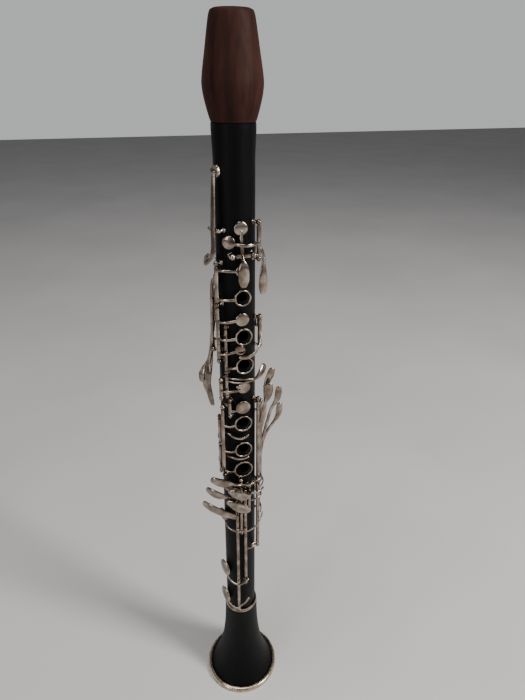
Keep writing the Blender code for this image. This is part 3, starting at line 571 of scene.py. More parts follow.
def make_rods():
    """All hinge rods with their posts."""
    cross_rod("register_saddle", -68.0, 19.0, 526.0, 5.2, 1.6)
    cross_rod("a_pivot_rod", 2.3, 18.6, 508.0, 8.2, 2.4)
    straight_rod("g_sharp_rod", 45.0, STACK_RADIUS, (531.0, 504.0))
    cross_rod("side_key_rod", SIDE_ANGLE, 19.5, SIDE_HEIGHT, 9.2)
    straight_rod("thumb_ring_rod", THUMB_ROD_ANGLE, 18.6, (497.0, 476.0), SMALL_BALL)
    straight_rod("upper_stack_rod", -62.0, STACK_RADIUS, (501.0, 468.0, 419.0))
    straight_rod("inner_rod", -46.0, INNER_RADIUS, (449.5, 408.4, 385.2), SMALL_BALL)
    straight_rod("sliver_key_rod", 60.0, 19.2, (454.0, 429.0))
    straight_rod("c_sharp_cup_rod", -58.5, STACK_RADIUS, (401.0, 383.5))
    straight_rod("middle_vent_rod", -37.0, 18.0, (381.8, 366.5), SMALL_BALL)
    straight_rod("lower_stack_rod", -56.0, STACK_RADIUS, (374.5, 300.5))
    straight_rod("fork_key_rod", FORK_ANGLE, FORK_RADIUS, (361.0, 331.5, 300.5), SMALL_BALL)
    straight_rod("low_e_flat_rod", -21.0, FRONT_RADIUS, (266.5, 117.0), SMALL_BALL)
    straight_rod("f_keys_rod", -10.0, FRONT_RADIUS, (297.2, 280.4, 231.0), SMALL_BALL)
    straight_rod("e_key_rod", 1.0, FRONT_RADIUS, (283.4, 159.5), SMALL_BALL)
    straight_rod("a_flat_rod", 13.0, FRONT_RADIUS, (287.6, 258.0), SMALL_BALL)
    straight_rod("left_lever_rod_1", 46.0, STACK_RADIUS, (379.0, 204.0))
    straight_rod("left_lever_rod_2", 61.0, STACK_RADIUS, (374.0, 286.5))
    straight_rod("left_lever_rod_3", 76.0, STACK_RADIUS, (370.0, 280.4))
    straight_rod("left_lever_rod_4", 93.0, STACK_RADIUS, (358.0, 241.0))


def beside_side_keys(offset, radius, height):
    """Point in the plane that the four side keys share."""
    return beside(SIDE_ANGLE, offset, radius, height)


def ring_arm(angle, height, diameter, stations):
    """Finger ring with the arm that joins its edge to the stations before it."""
    reach = RING_WALL * 0.5 - diameter * 0.5
    level = RING_REST + 0.6
    end_angle = angle + math.degrees(math.atan2(reach, level))
    end = (end_angle, math.hypot(reach, level), height - 1.0, 2.4)
    return [bar(stations + [end], RING_THICKNESS), finger_ring(angle, height, diameter)]


def make_upper_keys():
    """Register, throat and side keys, thumb ring, upper stack and sliver key."""
    cross_key("register_key", -68.0, 19.0, 526.0, -3.2, 3.2, [
        bar([(-69.0, 17.9, 565.0, 4.0), (-68.0, 19.2, 545.0, 5.2), (-68.0, 20.2, 527.0, 5.2),
             (-68.0, 20.2, 516.0, 5.2), (-68.5, 20.8, 508.8, 5.4), (-74.0, 22.2, 504.6, 4.4),
             (-88.0, 23.4, 499.6, 4.4), (-104.0, 23.8, 498.4, 4.6), (-118.0, 23.6, 499.0, 5.6),
             (-128.0, 23.2, 500.0, 4.8)], 1.8),
        cup(-68.0, CUP_REST, 566.5, 9.4, 2.6)])
    cross_key("a_key", 2.3, 18.6, 508.0, -5.4, 5.4, [
        bar([(0.0, 19.6, 507.0, 3.0), (-0.5, 18.9, 516.0, 2.4), (-1.0, 17.6, 526.0, 2.4)], 1.6),
        cup(-1.0, CUP_REST, 528.0, 10.3),
        bar([(0.0, 19.4, 509.0, 2.2), (0.0, 21.4, 506.2, 2.4), (0.0, 22.6, 503.2, 5.6),
             (0.0, 23.0, 498.0, 8.2), (0.0, 22.8, 490.6, 8.2), (0.0, 22.4, 487.0, 5.8)], 2.0)])
    upright_key("g_sharp_key", 45.0, STACK_RADIUS, 506.5, 528.5, [
        bar([(43.0, 21.2, 517.0, 2.6), (26.0, 23.0, 517.0, 2.4), (3.5, 23.4, 517.0, 2.4),
             (-14.0, 20.6, 517.4, 2.4), (-27.0, 18.0, 517.6, 2.4)], 1.5),
        cup(-32.0, CUP_REST, 517.6, 10.1),
        bar([(47.5, 21.4, 511.4, 2.6), (51.6, 22.4, 507.6, 2.6), (53.4, 23.0, 502.0, 2.6)], 1.6),
        bar([(53.4, 22.9, 503.0, 2.6), (52.4, 22.8, 497.0, 4.0), (51.0, 22.8, 489.0, 6.4),
             (50.6, 22.8, 481.0, 7.0), (50.4, 22.6, 477.0, 5.2)], 1.8, facing=TOUCH_FACING)])
    side_keys = (
        (5.0, 486.0, 5.0, [(6.6, 22.4, 420.0, 2.8), (8.8, 23.6, 414.0, 4.4),
                           (10.4, 24.6, 406.0, 6.4), (10.8, 25.2, 399.5, 4.8)]),
        (-1.0, 472.0, 1.7, [(3.8, 22.0, 412.0, 2.4), (5.6, 24.4, 394.0, 3.4),
                            (7.4, 24.0, 384.0, 6.4), (9.0, 22.4, 375.5, 5.0)]),
        (-5.2, 460.4, -1.8, [(-1.0, 23.4, 415.0, 2.4), (0.2, 28.0, 406.5, 4.2),
                             (1.0, 30.4, 400.0, 6.2), (0.6, 30.8, 394.5, 4.6)]),
        (-9.4, 448.4, -5.3, [(-5.4, 22.0, 412.0, 2.6), (-3.4, 29.2, 398.0, 3.8),
                             (-0.6, 27.0, 387.0, 6.2), (1.0, 23.6, 377.0, 4.8)]))
    for number, (pad, level, lane, touch) in enumerate(side_keys, start=1):
        lever = [(pad, 17.9, level, 2.8), (lane, 19.2, level - 9.5, 2.6), (lane, 20.2, 436.0, 2.6),
                 (lane, 21.0, SIDE_HEIGHT, 2.8)] + touch[:2]
        cross_key("side_key_%d" % number, SIDE_ANGLE, 19.5, SIDE_HEIGHT, lane - 1.4, lane + 1.4, [
            bar(lever, 2.7, beside_side_keys),
            bar(touch[1:], 2.3, beside_side_keys, -55.0),
            cup_at(beside_side_keys(pad, CUP_REST, level), outward(SIDE_ANGLE), 4.5, 2.6)])
    upright_key("thumb_ring_key", THUMB_ROD_ANGLE, 18.6, 478.3, 494.7, [
        bar([(213.5, 19.4, 487.0, 2.6), (207.0, 19.6, 487.0, 2.4), (200.5, 19.4, 487.0, 2.4)], 1.4),
        finger_ring(180.0, 487.0, 15.5, 1.8)], THIN_TUBE)
    upright_key("first_ring_key", -62.0, STACK_RADIUS, 470.5, 498.4, [
        bar([(-60.0, 21.0, 496.6, 2.4), (-42.0, 20.4, 496.8, 2.2), (-20.0, 19.0, 496.6, 2.2),
             (-8.0, 18.6, 496.4, 2.2)], 1.5),
        cup(-1.0, CUP_OPEN, 496.6, 9.4),
        ] + ring_arm(1.0, 475.0, 13.5, [(-60.0, 20.6, 473.0, 2.4), (-38.0, 19.6, 473.4, 2.2)]))
    upright_key("second_ring_key", -62.0, STACK_RADIUS, 434.5, 465.4, [
        bar([(-60.0, 21.0, 454.4, 2.4), (-42.0, 20.6, 455.0, 2.2), (-14.0, 18.6, 456.4, 2.2)], 1.5),
        cup(-1.0, CUP_OPEN, 457.0, 11.0),
        ] + ring_arm(2.5, 442.0, 14.6, [(-60.5, 21.4, 439.6, 2.4), (-46.0, 21.2, 439.8, 2.2)]))
    upright_key("vent_key", -62.0, STACK_RADIUS, 421.4, 434.1, [
        bar([(-60.5, 21.4, 426.2, 2.2), (-46.0, 21.2, 427.0, 2.0), (-17.0, 18.4, 429.4, 2.2)], 1.3),
        cup(-7.0, CUP_OPEN, 430.4, 8.4, 2.2)])
    upright_key("third_ring_key", -46.0, INNER_RADIUS, 410.7, 447.3, [
        ] + ring_arm(4.5, 416.0, 15.6, [(-44.0, 18.2, 413.0, 2.2), (-34.0, 18.6, 413.4, 2.2)]), THIN_TUBE)
    upright_key("sliver_key", 60.0, 19.2, 431.5, 451.6, [
        bar([(58.0, 20.4, 440.0, 2.4), (46.0, 22.0, 434.5, 2.6), (24.0, 22.6, 427.6, 2.8),
             (4.0, 22.8, 425.6, 3.2), (-9.0, 22.6, 426.2, 2.4)], 1.3),
        bar([(62.0, 20.2, 446.0, 2.4), (72.0, 19.0, 446.0, 2.2), (81.0, 17.6, 446.0, 2.2)], 1.3),
        cup(86.0, CUP_REST, 446.0, 9.0)])


def make_lower_keys():
    """Articulated C sharp key, lower stack, fork levers and the right-hand little-finger keys."""
    upright_key("c_sharp_lever", -46.0, INNER_RADIUS, 387.3, 406.3, [
        bar([(-44.0, 18.4, 404.9, 1.5), (-20.0, 20.2, 405.0, 1.5), (4.0, 21.0, 404.6, 1.5),
             (21.0, 22.0, 403.2, 2.2)], 1.4),
        bar([(-44.0, 18.4, 401.9, 1.5), (-20.0, 20.2, 401.6, 1.5), (4.0, 21.0, 401.8, 1.5),
             (21.0, 22.0, 402.6, 2.2), (30.0, 22.8, 404.0, 2.8)], 1.5),
        bar([(27.0, 22.6, 403.6, 2.8), (35.0, 23.2, 405.4, 4.6), (44.0, 23.6, 408.0, 6.0),
             (52.0, 23.8, 410.6, 5.6)], 1.9, facing=TOUCH_FACING)], THIN_TUBE)
    upright_key("c_sharp_cup_key", -58.5, STACK_RADIUS, 385.9, 398.6, [
        bar([(-56.5, 21.0, 391.6, 2.2), (-45.0, 20.8, 391.6, 2.0), (-20.0, 18.6, 392.2, 2.2),
             (-6.0, 17.6, 393.2, 2.2)], 1.4),
        cup(2.7, CUP_REST, 394.3, 11.3),
        bar([(-3.0, 17.2, 395.0, 3.0), (-12.0, 18.2, 396.2, 4.2), (-16.0, 18.2, 396.4, 2.4)], 1.5)])
    upright_key("middle_vent_key", -37.0, 18.0, 368.6, 379.7, [
        bar([(-35.0, 18.9, 371.6, 2.2), (-22.0, 18.5, 372.4, 2.0), (-17.0, 18.4, 373.0, 2.2)], 1.4),
        cup(-1.0, CUP_OPEN, 375.4, 12.6)], THIN_TUBE)
    rings = ((-1.0, 359.0, 356.0, 15.8), (-1.0, 331.0, 328.6, 15.8), (-2.0, 308.6, 306.0, 17.2))
    pieces = []
    for angle, height, arm_height, diameter in rings:
        pieces += ring_arm(angle, height, diameter, [(-54.0, 20.6, arm_height, 2.4),
                                                   (-38.0, 19.8, arm_height, 2.2)])
    upright_key("lower_ring_key", -56.0, STACK_RADIUS, 302.9, 372.1, pieces)
    forks = ((342.6, 3.4, 333.9, 358.7, 338.0), (320.2, 0.6, 302.9, 329.1, 312.0))
    for number, (level, rise, low, high, pad) in enumerate(forks, start=1):
        upright_key("fork_key_%d" % number, FORK_ANGLE, FORK_RADIUS, low, high, [
            bar([(-74.0, 17.8, level + rise, 2.0), (-66.0, 17.1, level + rise, 2.0),
                 (-46.0, 17.0, level + rise, 2.2), (-25.0, 17.5, level + rise * 0.3, 2.4),
                 (-5.0, 17.7, level, 2.4), (14.0, 17.6, level + rise * 0.6, 2.0)], 1.2),
            bar([(-79.0, 19.6, pad, 2.2), (-89.0, 18.8, pad, 2.2), (-98.0, 17.7, pad, 2.2)], 1.3),
            cup(-106.0, CUP_REST, pad, 9.0)], THIN_TUBE)
    upright_key("f_sharp_key", -10.0, FRONT_RADIUS, 282.6, 295.0, [
        bar([(-11.0, 20.6, 293.2, 2.4), (-19.0, 22.2, 293.8, 2.8), (-28.0, 24.0, 295.6, 4.2),
             (-37.0, 26.2, 297.0, 8.8), (-49.0, 29.0, 298.6, 10.6), (-59.5, 31.8, 300.2, 9.2)], 3.2),
        bar([(-12.0, 20.2, 286.4, 2.2), (-28.0, 19.6, 286.4, 2.2), (-42.0, 18.0, 286.4, 2.2)], 1.3),
        cup(-52.0, CUP_OPEN, 286.4, 11.0),
        bar([(-8.6, 20.4, 291.8, 2.2), (4.0, 21.9, 291.8, 2.2), (24.0, 22.0, 291.8, 2.6)], 1.2)],
        THIN_TUBE)
    upright_key("f_key", -10.0, FRONT_RADIUS, 233.1, 278.3, [
        cylinder(place(-10.0, 20.2, 272.0), place(-10.0, 26.6, 272.0), 1.3, PEG_SIDES),
        bar([(0.0, 27.2, 266.8, 7.6), (-9.0, 27.8, 269.4, 9.6), (-19.0, 28.2, 272.8, 9.8),
             (-29.0, 28.4, 275.8, 8.0), (-35.0, 28.4, 277.4, 5.4)], 3.0),
        bar([(-66.0, 19.0, 243.4, 2.2), (-45.0, 21.8, 238.0, 2.0), (-21.0, 23.0, 236.0, 2.0),
             (-10.0, 22.2, 235.6, 2.2), (1.0, 23.2, 235.6, 2.0), (22.0, 23.3, 237.0, 2.0),
             (46.0, 23.4, 241.6, 2.2), (56.0, 23.4, 245.0, 2.6)], 1.3),
        cylinder(place(-10.0, 20.0, 235.6), place(-10.0, 22.4, 235.6), 1.2, PEG_SIDES),
        cup(-74.0, CUP_OPEN + 0.5, 246.5, 13.5)], THIN_TUBE)
    upright_key("e_key", 1.0, FRONT_RADIUS, 161.7, 281.2, [
        cylinder(place(1.0, 20.2, 278.6), place(1.0, 23.2, 278.6), 1.2, PEG_SIDES),
        bar([(3.0, 23.0, 278.6, 2.2), (-10.0, 23.0, 278.6, 2.2), (-28.0, 23.4, 279.4, 2.2),
             (-44.0, 26.4, 281.0, 4.6), (-52.0, 28.8, 282.2, 9.0), (-62.0, 31.6, 284.0, 10.4),
             (-70.5, 33.6, 285.6, 8.6)], 3.0),
        cylinder(place(1.0, 20.0, 165.6), place(1.0, 22.8, 165.6), 1.2, PEG_SIDES),
        bar([(4.0, 22.4, 166.6, 2.4), (-6.0, 23.0, 163.6, 2.4), (-21.0, 23.2, 161.4, 2.4),
             (-42.0, 21.4, 162.6, 2.4), (-62.0, 19.2, 166.6, 2.6)], 1.6),
        cup(-76.0, CUP_OPEN + 0.3, 171.0, 17.5),
        bar([(3.0, 20.6, 209.4, 2.2), (14.0, 21.6, 209.4, 2.2), (25.0, 21.8, 209.4, 2.4)], 1.3)],
        THIN_TUBE)
    upright_key("low_e_flat_key", -21.0, FRONT_RADIUS, 119.2, 264.3, [
        bar([(-21.5, 20.6, 254.0, 4.0), (-23.5, 23.6, 254.8, 6.0), (-34.0, 26.2, 259.0, 8.0),
             (-50.0, 30.0, 263.4, 9.8), (-65.0, 34.0, 266.6, 10.4), (-74.5, 36.6, 268.2, 8.8)], 3.0),
        bar([(-22.0, 20.8, 121.4, 2.4), (-40.0, 20.6, 122.2, 2.4), (-62.0, 19.4, 125.2, 2.6)], 1.6),
        cup(-78.0, CUP_OPEN + 0.3, 129.0, 17.5),
        bar([(-20.0, 20.8, 124.6, 2.4), (-8.0, 20.8, 127.6, 2.4), (3.0, 20.4, 131.4, 2.6),
             (8.0, 20.0, 133.4, 3.6)], 1.4)], THIN_TUBE)
    upright_key("a_flat_key", 13.0, FRONT_RADIUS, 260.2, 285.4, [
        bar([(12.0, 20.6, 283.0, 2.2), (9.0, 24.0, 283.2, 2.6), (5.0, 26.2, 283.2, 3.6),
             (-4.0, 27.5, 283.8, 8.0), (-14.0, 28.0, 286.2, 9.4), (-24.0, 27.9, 288.4, 8.4),
             (-31.0, 27.6, 289.8, 5.8)], 3.0),
        bar([(15.0, 20.6, 271.0, 2.2), (32.0, 23.0, 271.8, 2.2), (47.0, 23.3, 272.6, 2.2),
             (62.0, 17.8, 273.4, 2.2)], 1.4),
        cup(69.0, CUP_REST, 273.6, 9.6),
        bar([(15.0, 20.6, 280.2, 2.2), (28.0, 24.4, 280.6, 2.2), (46.0, 25.6, 281.2, 2.8)], 1.3)],
        THIN_TUBE)


def make_left_levers():
    """Four levers for the left little finger, each on its own long rod at the right side."""
    upright_key("left_lever_1", 46.0, STACK_RADIUS, 206.4, 376.6, [
        bar([(47.0, 21.4, 350.0, 2.6), (48.4, 23.4, 362.0, 2.6), (50.6, 25.4, 374.0, 2.8),
             (52.0, 27.0, 380.0, 3.4)], 1.9, facing=LEVER_FACING),
        bar([(51.4, 26.6, 377.6, 3.8), (53.2, 28.2, 382.6, 6.0), (54.0, 29.0, 388.4, 6.8),
             (53.6, 29.2, 392.6, 5.4)], 2.2, facing=LEVER_FACING),
        bar([(44.0, 20.4, 209.4, 2.2), (34.0, 19.6, 209.4, 2.2), (22.0, 18.9, 209.4, 2.4)], 1.3)])
    upright_key("left_lever_2", 61.0, STACK_RADIUS, 288.9, 371.6, [
        bar([(62.0, 21.4, 346.0, 2.6), (65.0, 23.6, 358.0, 2.8), (68.0, 24.0, 374.0, 2.8),
             (67.0, 23.8, 384.0, 3.0), (64.0, 24.6, 389.5, 3.4)], 1.9, facing=LEVER_FACING),
        bar([(65.0, 24.2, 387.6, 3.8), (62.6, 26.2, 393.6, 5.8), (61.8, 28.4, 400.2, 7.0),
             (61.6, 29.8, 405.6, 6.0)], 2.2, facing=LEVER_FACING),
        bar([(60.0, 21.0, 292.0, 2.2), (46.0, 23.5, 292.0, 2.2), (35.0, 22.2, 292.0, 2.2),
             (22.0, 19.4, 292.0, 2.4)], 1.3)])
    upright_key("left_lever_3", 76.0, STACK_RADIUS, 282.8, 367.6, [
        bar([(75.6, 21.4, 318.0, 2.6), (75.0, 22.8, 332.0, 2.8), (71.0, 26.0, 349.0, 2.8),
             (65.0, 29.2, 364.0, 3.0), (61.6, 33.2, 374.0, 3.4)], 1.9, facing=LEVER_FACING),
        bar([(62.4, 32.4, 371.6, 3.8), (60.6, 35.0, 377.6, 5.6), (59.4, 36.0, 384.6, 6.4),
             (59.0, 36.2, 389.6, 5.2)], 2.2, facing=LEVER_FACING),
        bar([(74.0, 21.2, 285.2, 2.2), (61.0, 23.4, 284.2, 2.2), (46.0, 23.4, 282.4, 2.2)], 1.2)])
    upright_key("left_lever_4", 93.0, STACK_RADIUS, 243.4, 355.6, [
        bar([(92.0, 21.4, 301.0, 2.6), (91.0, 22.8, 317.0, 2.8), (86.0, 26.2, 332.0, 2.8),
             (78.0, 31.4, 345.0, 3.0), (71.0, 34.4, 354.0, 3.4)], 1.9, facing=LEVER_FACING),
        bar([(72.4, 33.8, 351.6, 3.8), (70.0, 35.8, 357.6, 5.4), (68.6, 36.6, 364.4, 6.2),
             (68.2, 36.8, 369.2, 5.0)], 2.2, facing=LEVER_FACING),
        bar([(91.0, 20.6, 246.6, 2.2), (74.0, 21.2, 246.2, 2.2), (56.0, 21.4, 245.6, 2.4)], 1.2)])


def tone_holes():
    """Every tone hole as (start, direction, radius), and the chimneys of the open ones likewise."""
    open_holes = [(1.0, 475.0, 3.3), (2.5, 442.0, 3.8), (4.5, 416.0, 4.1), (-1.0, 359.0, 4.4),
                  (-1.0, 331.0, 4.4), (-2.0, 308.6, 5.0), (180.0, 487.0, 3.8)]
    covered = [(-68.0, 566.5, 1.5), (-1.0, 528.0, 2.6), (-32.0, 517.6, 2.6), (-1.0, 496.6, 3.0),
               (-1.0, 457.0, 3.0), (-7.0, 430.4, 2.4), (86.0, 446.0, 2.6), (2.7, 394.3, 3.2),
               (-1.0, 375.4, 3.8), (-106.0, 338.0, 2.6), (-106.0, 312.0, 2.6), (-52.0, 286.4, 3.6),
               (-74.0, 246.5, 4.4), (-76.0, 171.0, 5.2), (-78.0, 129.0, 5.2), (69.0, 273.6, 3.0)]
    side = [(5.0, 486.0), (-1.0, 472.0), (-5.2, 460.4), (-9.4, 448.4)]
    holes = [(place(angle, 0.0, height), outward(angle), radius)
             for angle, height, radius in open_holes + covered]
    holes += [(beside_side_keys(offset, 0.0, height), outward(SIDE_ANGLE), 2.4) for offset, height in side]
    chimneys = [(place(angle, 0.0, height), outward(angle), radius + CHIMNEY_WALL)
                for angle, height, radius in open_holes]
    return holes, chimneys


def resample(profile, steps, keep):
    """Round a turned outline with a spline, except at corners of more than keep degrees."""
    smooth = []
    last = len(profile) - 1
    for index in range(last):
        here = Vector(profile[index])
        after = Vector(profile[index + 1])
        before = Vector(profile[max(index - 1, 0)])
        beyond = Vector(profile[min(index + 2, last)])
        chord = after - here
        turn_in = math.degrees((here - before).angle(chord)) if index else 180.0
        turn_out = math.degrees(chord.angle(beyond - after)) if index < last - 1 else 180.0
        start = (after - before) * 0.5 if turn_in < keep else chord
        end = (beyond - here) * 0.5 if turn_out < keep else chord
        for step in range(steps):
            t = step / steps
            spot = (here * (2 * t ** 3 - 3 * t ** 2 + 1) + start * (t ** 3 - 2 * t ** 2 + t)
                    + after * (-2 * t ** 3 + 3 * t ** 2) + end * (t ** 3 - t ** 2))
            smooth.append((spot.x, spot.y))
    smooth.append(tuple(profile[-1]))
    return smooth


def boolean(target, tool, operation):
    """Apply one exact Boolean to target and remove the tool."""
    modifier = target.modifiers.new(operation, "BOOLEAN")
    modifier.operation = operation
    modifier.solver = "EXACT"
    modifier.object = tool
    bpy.context.view_layer.update()
    graph = bpy.context.evaluated_depsgraph_get()
    result = bpy.data.meshes.new_from_object(target.evaluated_get(graph))
    target.modifiers.clear()
    target.data = result
    bpy.data.objects.remove(tool)


def turned_piece(node, profile, look):
    """Turned piece that stands for a CAD node."""
    piece = turned(profile, BODY_SIDES)
    piece.name = node + "_fine"
    dress(piece, node, look)


def make_body():
    """Body with its two tenons, its raised open holes and every tone hole's seat."""
    tenon = TENON_RADIUS - FIT_GAP
    shoulder = BELL_TOP + FIT_GAP
    body = turned([(BORE_RADIUS, 93.0), (TENON_RADIUS - 0.5, 93.0), (tenon, 93.4), (tenon, shoulder),
                   (BODY_RADIUS - 0.4, shoulder), (BODY_RADIUS, BELL_TOP + 0.7), (BODY_RADIUS, 573.0),
                   (BODY_RADIUS + 0.22, 580.0), (BODY_RADIUS + 0.6, 588.0), (TOP_RADIUS, 592.0),
                   (TOP_RADIUS, BODY_TOP - 0.5), (TOP_RADIUS - 0.4, BODY_TOP), (tenon, BODY_TOP),
                   (tenon, 612.2), (TENON_RADIUS - 0.6, 612.5), (BORE_RADIUS, 612.5)], BODY_SIDES)
    holes, chimneys = tone_holes()
    raised = []
    for spot, way, radius in chimneys:
        outline = [(0.0, 11.5), (radius + 0.5, 11.5), (radius + 0.25, 15.3), (radius, 15.9),
                   (radius - 0.08, 16.25), (radius - 0.3, 16.4), (0.0, 16.4)]
        raised.append(turned(outline, HOLE_SIDES, spot, way))
    seats = []
    for spot, way, radius in holes:
        outline = [(0.0, 5.0), (radius, 5.0), (radius, 14.6), (radius + 0.35, 15.5),
                   (radius + 0.5, 19.0), (0.0, 19.0)]
        seats.append(turned(outline, HOLE_SIDES, spot, way))
    boolean(body, join("raised", raised), "UNION")
    boolean(body, join("drilled", seats), "DIFFERENCE")
    body.name = "body_tube_fine"
    dress(body, "body_tube", "grenadilla")


def make_barrel():
    """Barrel with a socket at each end and a rounded top edge."""
    outline = [(BORE_RADIUS, 613.2), (SOCKET_RADIUS, 613.2), (SOCKET_RADIUS, 597.7), (12.3, 597.3),
               (15.4, 597.3), (TOP_RADIUS, 597.8), (17.0, 601.5), (18.4, 606.5), (20.0, 613.5),
               (20.75, 620.0), (20.4, 625.0), (19.7, 630.0), (18.05, 640.0), (16.5, 650.0),
               (15.2, 657.5), (14.4, 660.4), (13.7, 661.6), (12.9, BARREL_TOP), (12.2, 661.7),
               (SOCKET_RADIUS, 661.0), (SOCKET_RADIUS, 645.0), (BORE_RADIUS, 645.0)]
    turned_piece("barrel", resample(outline, 5, 32.0), "rosewood")


def make_bell():
    """Bell with its socket and its flare."""
    outline = [(BORE_RADIUS, 92.4), (SOCKET_RADIUS, 92.4), (SOCKET_RADIUS, BELL_TOP),
               (16.9, BELL_TOP), (17.25, 107.6), (17.3, 98.0), (18.0, 80.0), (19.4, 63.0),
               (21.4, 48.0), (24.6, 33.0), (28.4, 20.5), (32.4, 11.0), (35.4, 5.6), (36.3, 0.9),
               (36.0, 0.4), (33.5, 0.4), (29.5, 4.0), (24.0, 11.0), (18.5, 24.0), (13.5, 45.0),
               (10.0, 68.0), (BORE_RADIUS, 92.2)]
    turned_piece("bell", resample(outline, 6, 32.0)[:-1], "grenadilla")


def make_bell_rings():
    """Metal ring round the bell's rim, and the ridged one round its socket."""
    rim = [(36.6, 0.0), (38.6, 0.0), (39.6, 0.7), (RIM_RADIUS, 2.0), (39.7, 3.6), (38.8, 4.9),
           (37.8, 5.4), (36.8, 5.5), (36.5, 5.0), (36.5, 0.3), (36.6, 0.0)]
    turned_piece("bell_rim_ring", resample(rim, 4, 50.0)[:-1], "rim")
    collar = [(15.4, 108.4), (16.6, 108.4), (17.0, 108.9), (17.1, 109.6), (17.0, 110.5),
              (16.65, 111.0), (16.65, 111.3), (16.95, 111.8), (16.9, 112.7), (16.5, 113.4),
              (15.4, 113.4), (15.4, 108.5)]
    turned_piece("bell_socket_ring", resample(collar, 2, 50.0)[:-1], "nickel")


def make_corks():
    """Cork sleeves of the two tenons."""
    inner = TENON_RADIUS - 0.25
    outer = SOCKET_RADIUS - FIT_GAP
    for name, low, high in (("barrel_tenon_cork", 599.5, 610.5), ("bell_tenon_cork", 95.0, 106.0)):
        outline = [(inner, low), (outer - 0.3, low), (outer, low + 0.5), (outer, high - 0.5),
                   (outer - 0.3, high), (inner, high)]
        turned_piece(name, outline, "cork")


def plate(name, outline, low, high, rounding):
    """Flat plate with rounded edges: an outline of (x, z) points between two y values."""
    data = bmesh.new()
    near = [data.verts.new((x, low, z)) for x, z in outline]
    face = data.faces.new(near)
    result = bmesh.ops.extrude_face_region(data, geom=[face])
    moved = [item for item in result["geom"] if isinstance(item, bmesh.types.BMVert)]
    bmesh.ops.translate(data, vec=(0.0, high - low, 0.0), verts=moved)
    bmesh.ops.bevel(data, geom=data.edges[:], offset=rounding, segments=3, affect="EDGES")
    return mesh_object(name, data)


def make_thumb_rest():
    """Thumb rest: a screwed plate with a curved hook standing out of it."""
    corners = []
    for sign_x, sign_z, start in ((1, -1, -90), (1, 1, 0), (-1, 1, 90), (-1, -1, 180)):
        for step in range(CORNER_STEPS + 1):
            turn = math.radians(start + 90.0 * step / CORNER_STEPS)
            corners.append((3.5 * sign_x + 2.4 * math.cos(turn),
                            306.0 + sign_z * 16.4 + 2.4 * math.sin(turn)))
    pieces = [plate("rest_plate", corners, 15.4, 16.9, 0.35)]
    hook = [(180.0, 16.6, 316.0, 9.4), (180.0, 19.0, 318.0, 9.6), (180.0, 23.0, 318.2, 9.8),
            (180.0, 27.0, 319.4, 9.8), (180.0, 28.8, 323.2, 9.4)]
    path = smooth_path(hook)
    data = bmesh.new()
    rings = []
    for index, station in enumerate(path):
        here = place(*station[:3])
        ahead = place(*path[min(index + 1, len(path) - 1)][:3]) - place(*path[max(index - 1, 0)][:3])
        ahead.normalize()
        across = Vector((1.0, 0.0, 0.0))
        rise = across.cross(ahead).normalized()
        ring = []
        for side in range(HOOK_SIDES):
            turn = 2.0 * math.pi * side / HOOK_SIDES
            wide = squared(math.cos(turn), 0.4)
            high = squared(math.sin(turn), 0.7)
            ring.append(data.verts.new(here + across * (station[3] * 0.5 * wide) + rise * (0.85 * high)))
        rings.append(ring)
    skin(data, rings)
    pieces.append(mesh_object("rest_hook", data))
    for height in (291.5, 321.0):
        pieces += screw(Vector((0.0, 16.8, height)), Vector((0.0, 1.0, 0.0)), 1.5, 0.5)
    dress(join("thumb_rest_fine", pieces), "thumb_rest", "nickel")


def make_springs():
    """Needle springs of seven of the upright keys."""
    springs = (("first_ring_key", -66.0, STACK_RADIUS, 480.0),
               ("second_ring_key", -66.0, STACK_RADIUS, 446.0),
               ("lower_ring_key", -60.0, STACK_RADIUS, 318.0),
               ("g_sharp_key", 41.0, STACK_RADIUS, 514.0),
               ("f_key", -13.0, FRONT_RADIUS, 247.0),
               ("low_e_flat_key", -24.5, FRONT_RADIUS, 140.0),
               ("e_key", -2.0, FRONT_RADIUS, 182.0))
    for node, angle, radius, height in springs:
        needle_spring(node, angle, radius, height)


def light(name, spot, aim, width, height, power, colour):
    """Soft area light in metres."""
    data = bpy.data.lights.new(name, "AREA")
    data.shape = "RECTANGLE"
    data.size = width
    data.size_y = height
    data.energy = power
    data.color = colour
    lamp = put_in_scene(name, data)
    lamp.location = spot
    lamp.rotation_euler = (Vector(aim) - Vector(spot)).to_track_quat("-Z", "Y").to_euler()


def make_floor():
    """Pale floor, level with the foot of the bell."""
    data = bmesh.new()
    bmesh.ops.create_grid(data, x_segments=1, y_segments=1, size=6.0)
    mesh = bpy.data.meshes.new("floor")
    data.to_mesh(mesh)
    data.free()
    floor = put_in_scene("floor", mesh)
    material, tree, shader = new_material("pale_floor")
    speck = texture(tree, "ShaderNodeTexNoise", 3.0, detail=3.0)
    tone = ramp(tree, speck.outputs["Fac"], [(0.3, (0.60, 0.59, 0.58)), (0.7, (0.66, 0.65, 0.64))])
    tree.links.new(tone, shader.inputs["Base Color"])
    shader.inputs["Roughness"].default_value = 0.75
    mesh.materials.append(material)


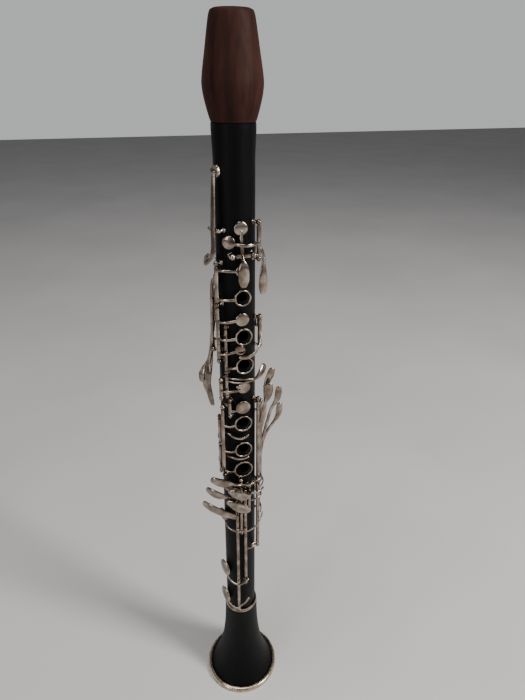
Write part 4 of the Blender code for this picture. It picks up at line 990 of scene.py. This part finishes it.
def make_lights():
    """Surroundings that are pale near the ground and dark above, and three soft lamps."""
    world = bpy.data.worlds.new("soft_room")
    bpy.context.scene.world = world
    world.use_nodes = True
    room = world.node_tree
    backdrop = room.nodes["Background"]
    direction = room.nodes.new("ShaderNodeTexCoord")
    split = room.nodes.new("ShaderNodeSeparateXYZ")
    room.links.new(direction.outputs["Generated"], split.inputs["Vector"])
    walls = [(0.16, (0.74, 0.75, 0.76)), (0.36, (0.12, 0.12, 0.13)), (1.0, (0.16, 0.16, 0.17))]
    room.links.new(ramp(room, split.outputs["Z"], walls), backdrop.inputs["Color"])
    backdrop.inputs["Strength"].default_value = 0.68
    light("window", (1.3, -1.2, 1.5), (0.0, 0.0, 0.35), 0.45, 1.2, 52.0, (1.0, 0.98, 0.96))
    light("ceiling", (-0.3, -0.2, 2.3), (0.0, 0.0, 0.3), 0.9, 0.9, 20.0, (1.0, 0.98, 0.95))
    light("fill", (-1.7, -1.2, 0.9), (0.0, 0.0, 0.3), 0.35, 1.3, 9.0, (0.95, 0.97, 1.0))


def make_camera():
    """Camera at the height of the barrel, looking down at the instrument."""
    camera_data = bpy.data.cameras.new("camera")
    camera_data.lens = CAMERA_LENS
    camera_data.sensor_width = CAMERA_SENSOR
    camera_data.clip_start = CAMERA_NEAR
    camera = put_in_scene("camera", camera_data)
    camera.location = CAMERA_SPOT
    forward = Vector(CAMERA_FORWARD).normalized()
    right = forward.cross(Vector((0.0, 0.0, 1.0))).normalized()
    upward = right.cross(forward).normalized()
    roll = math.radians(CAMERA_ROLL)
    turned_right = right * math.cos(roll) + upward * math.sin(roll)
    turned_up = upward * math.cos(roll) - right * math.sin(roll)
    axes = Matrix((turned_right, turned_up, -forward)).transposed()
    camera.rotation_euler = axes.to_euler()
    bpy.context.scene.camera = camera


make_rods()
make_upper_keys()
make_lower_keys()
make_left_levers()
make_body()
make_barrel()
make_bell()
make_bell_rings()
make_corks()
make_thumb_rest()
make_springs()
make_floor()
make_lights()
make_camera()
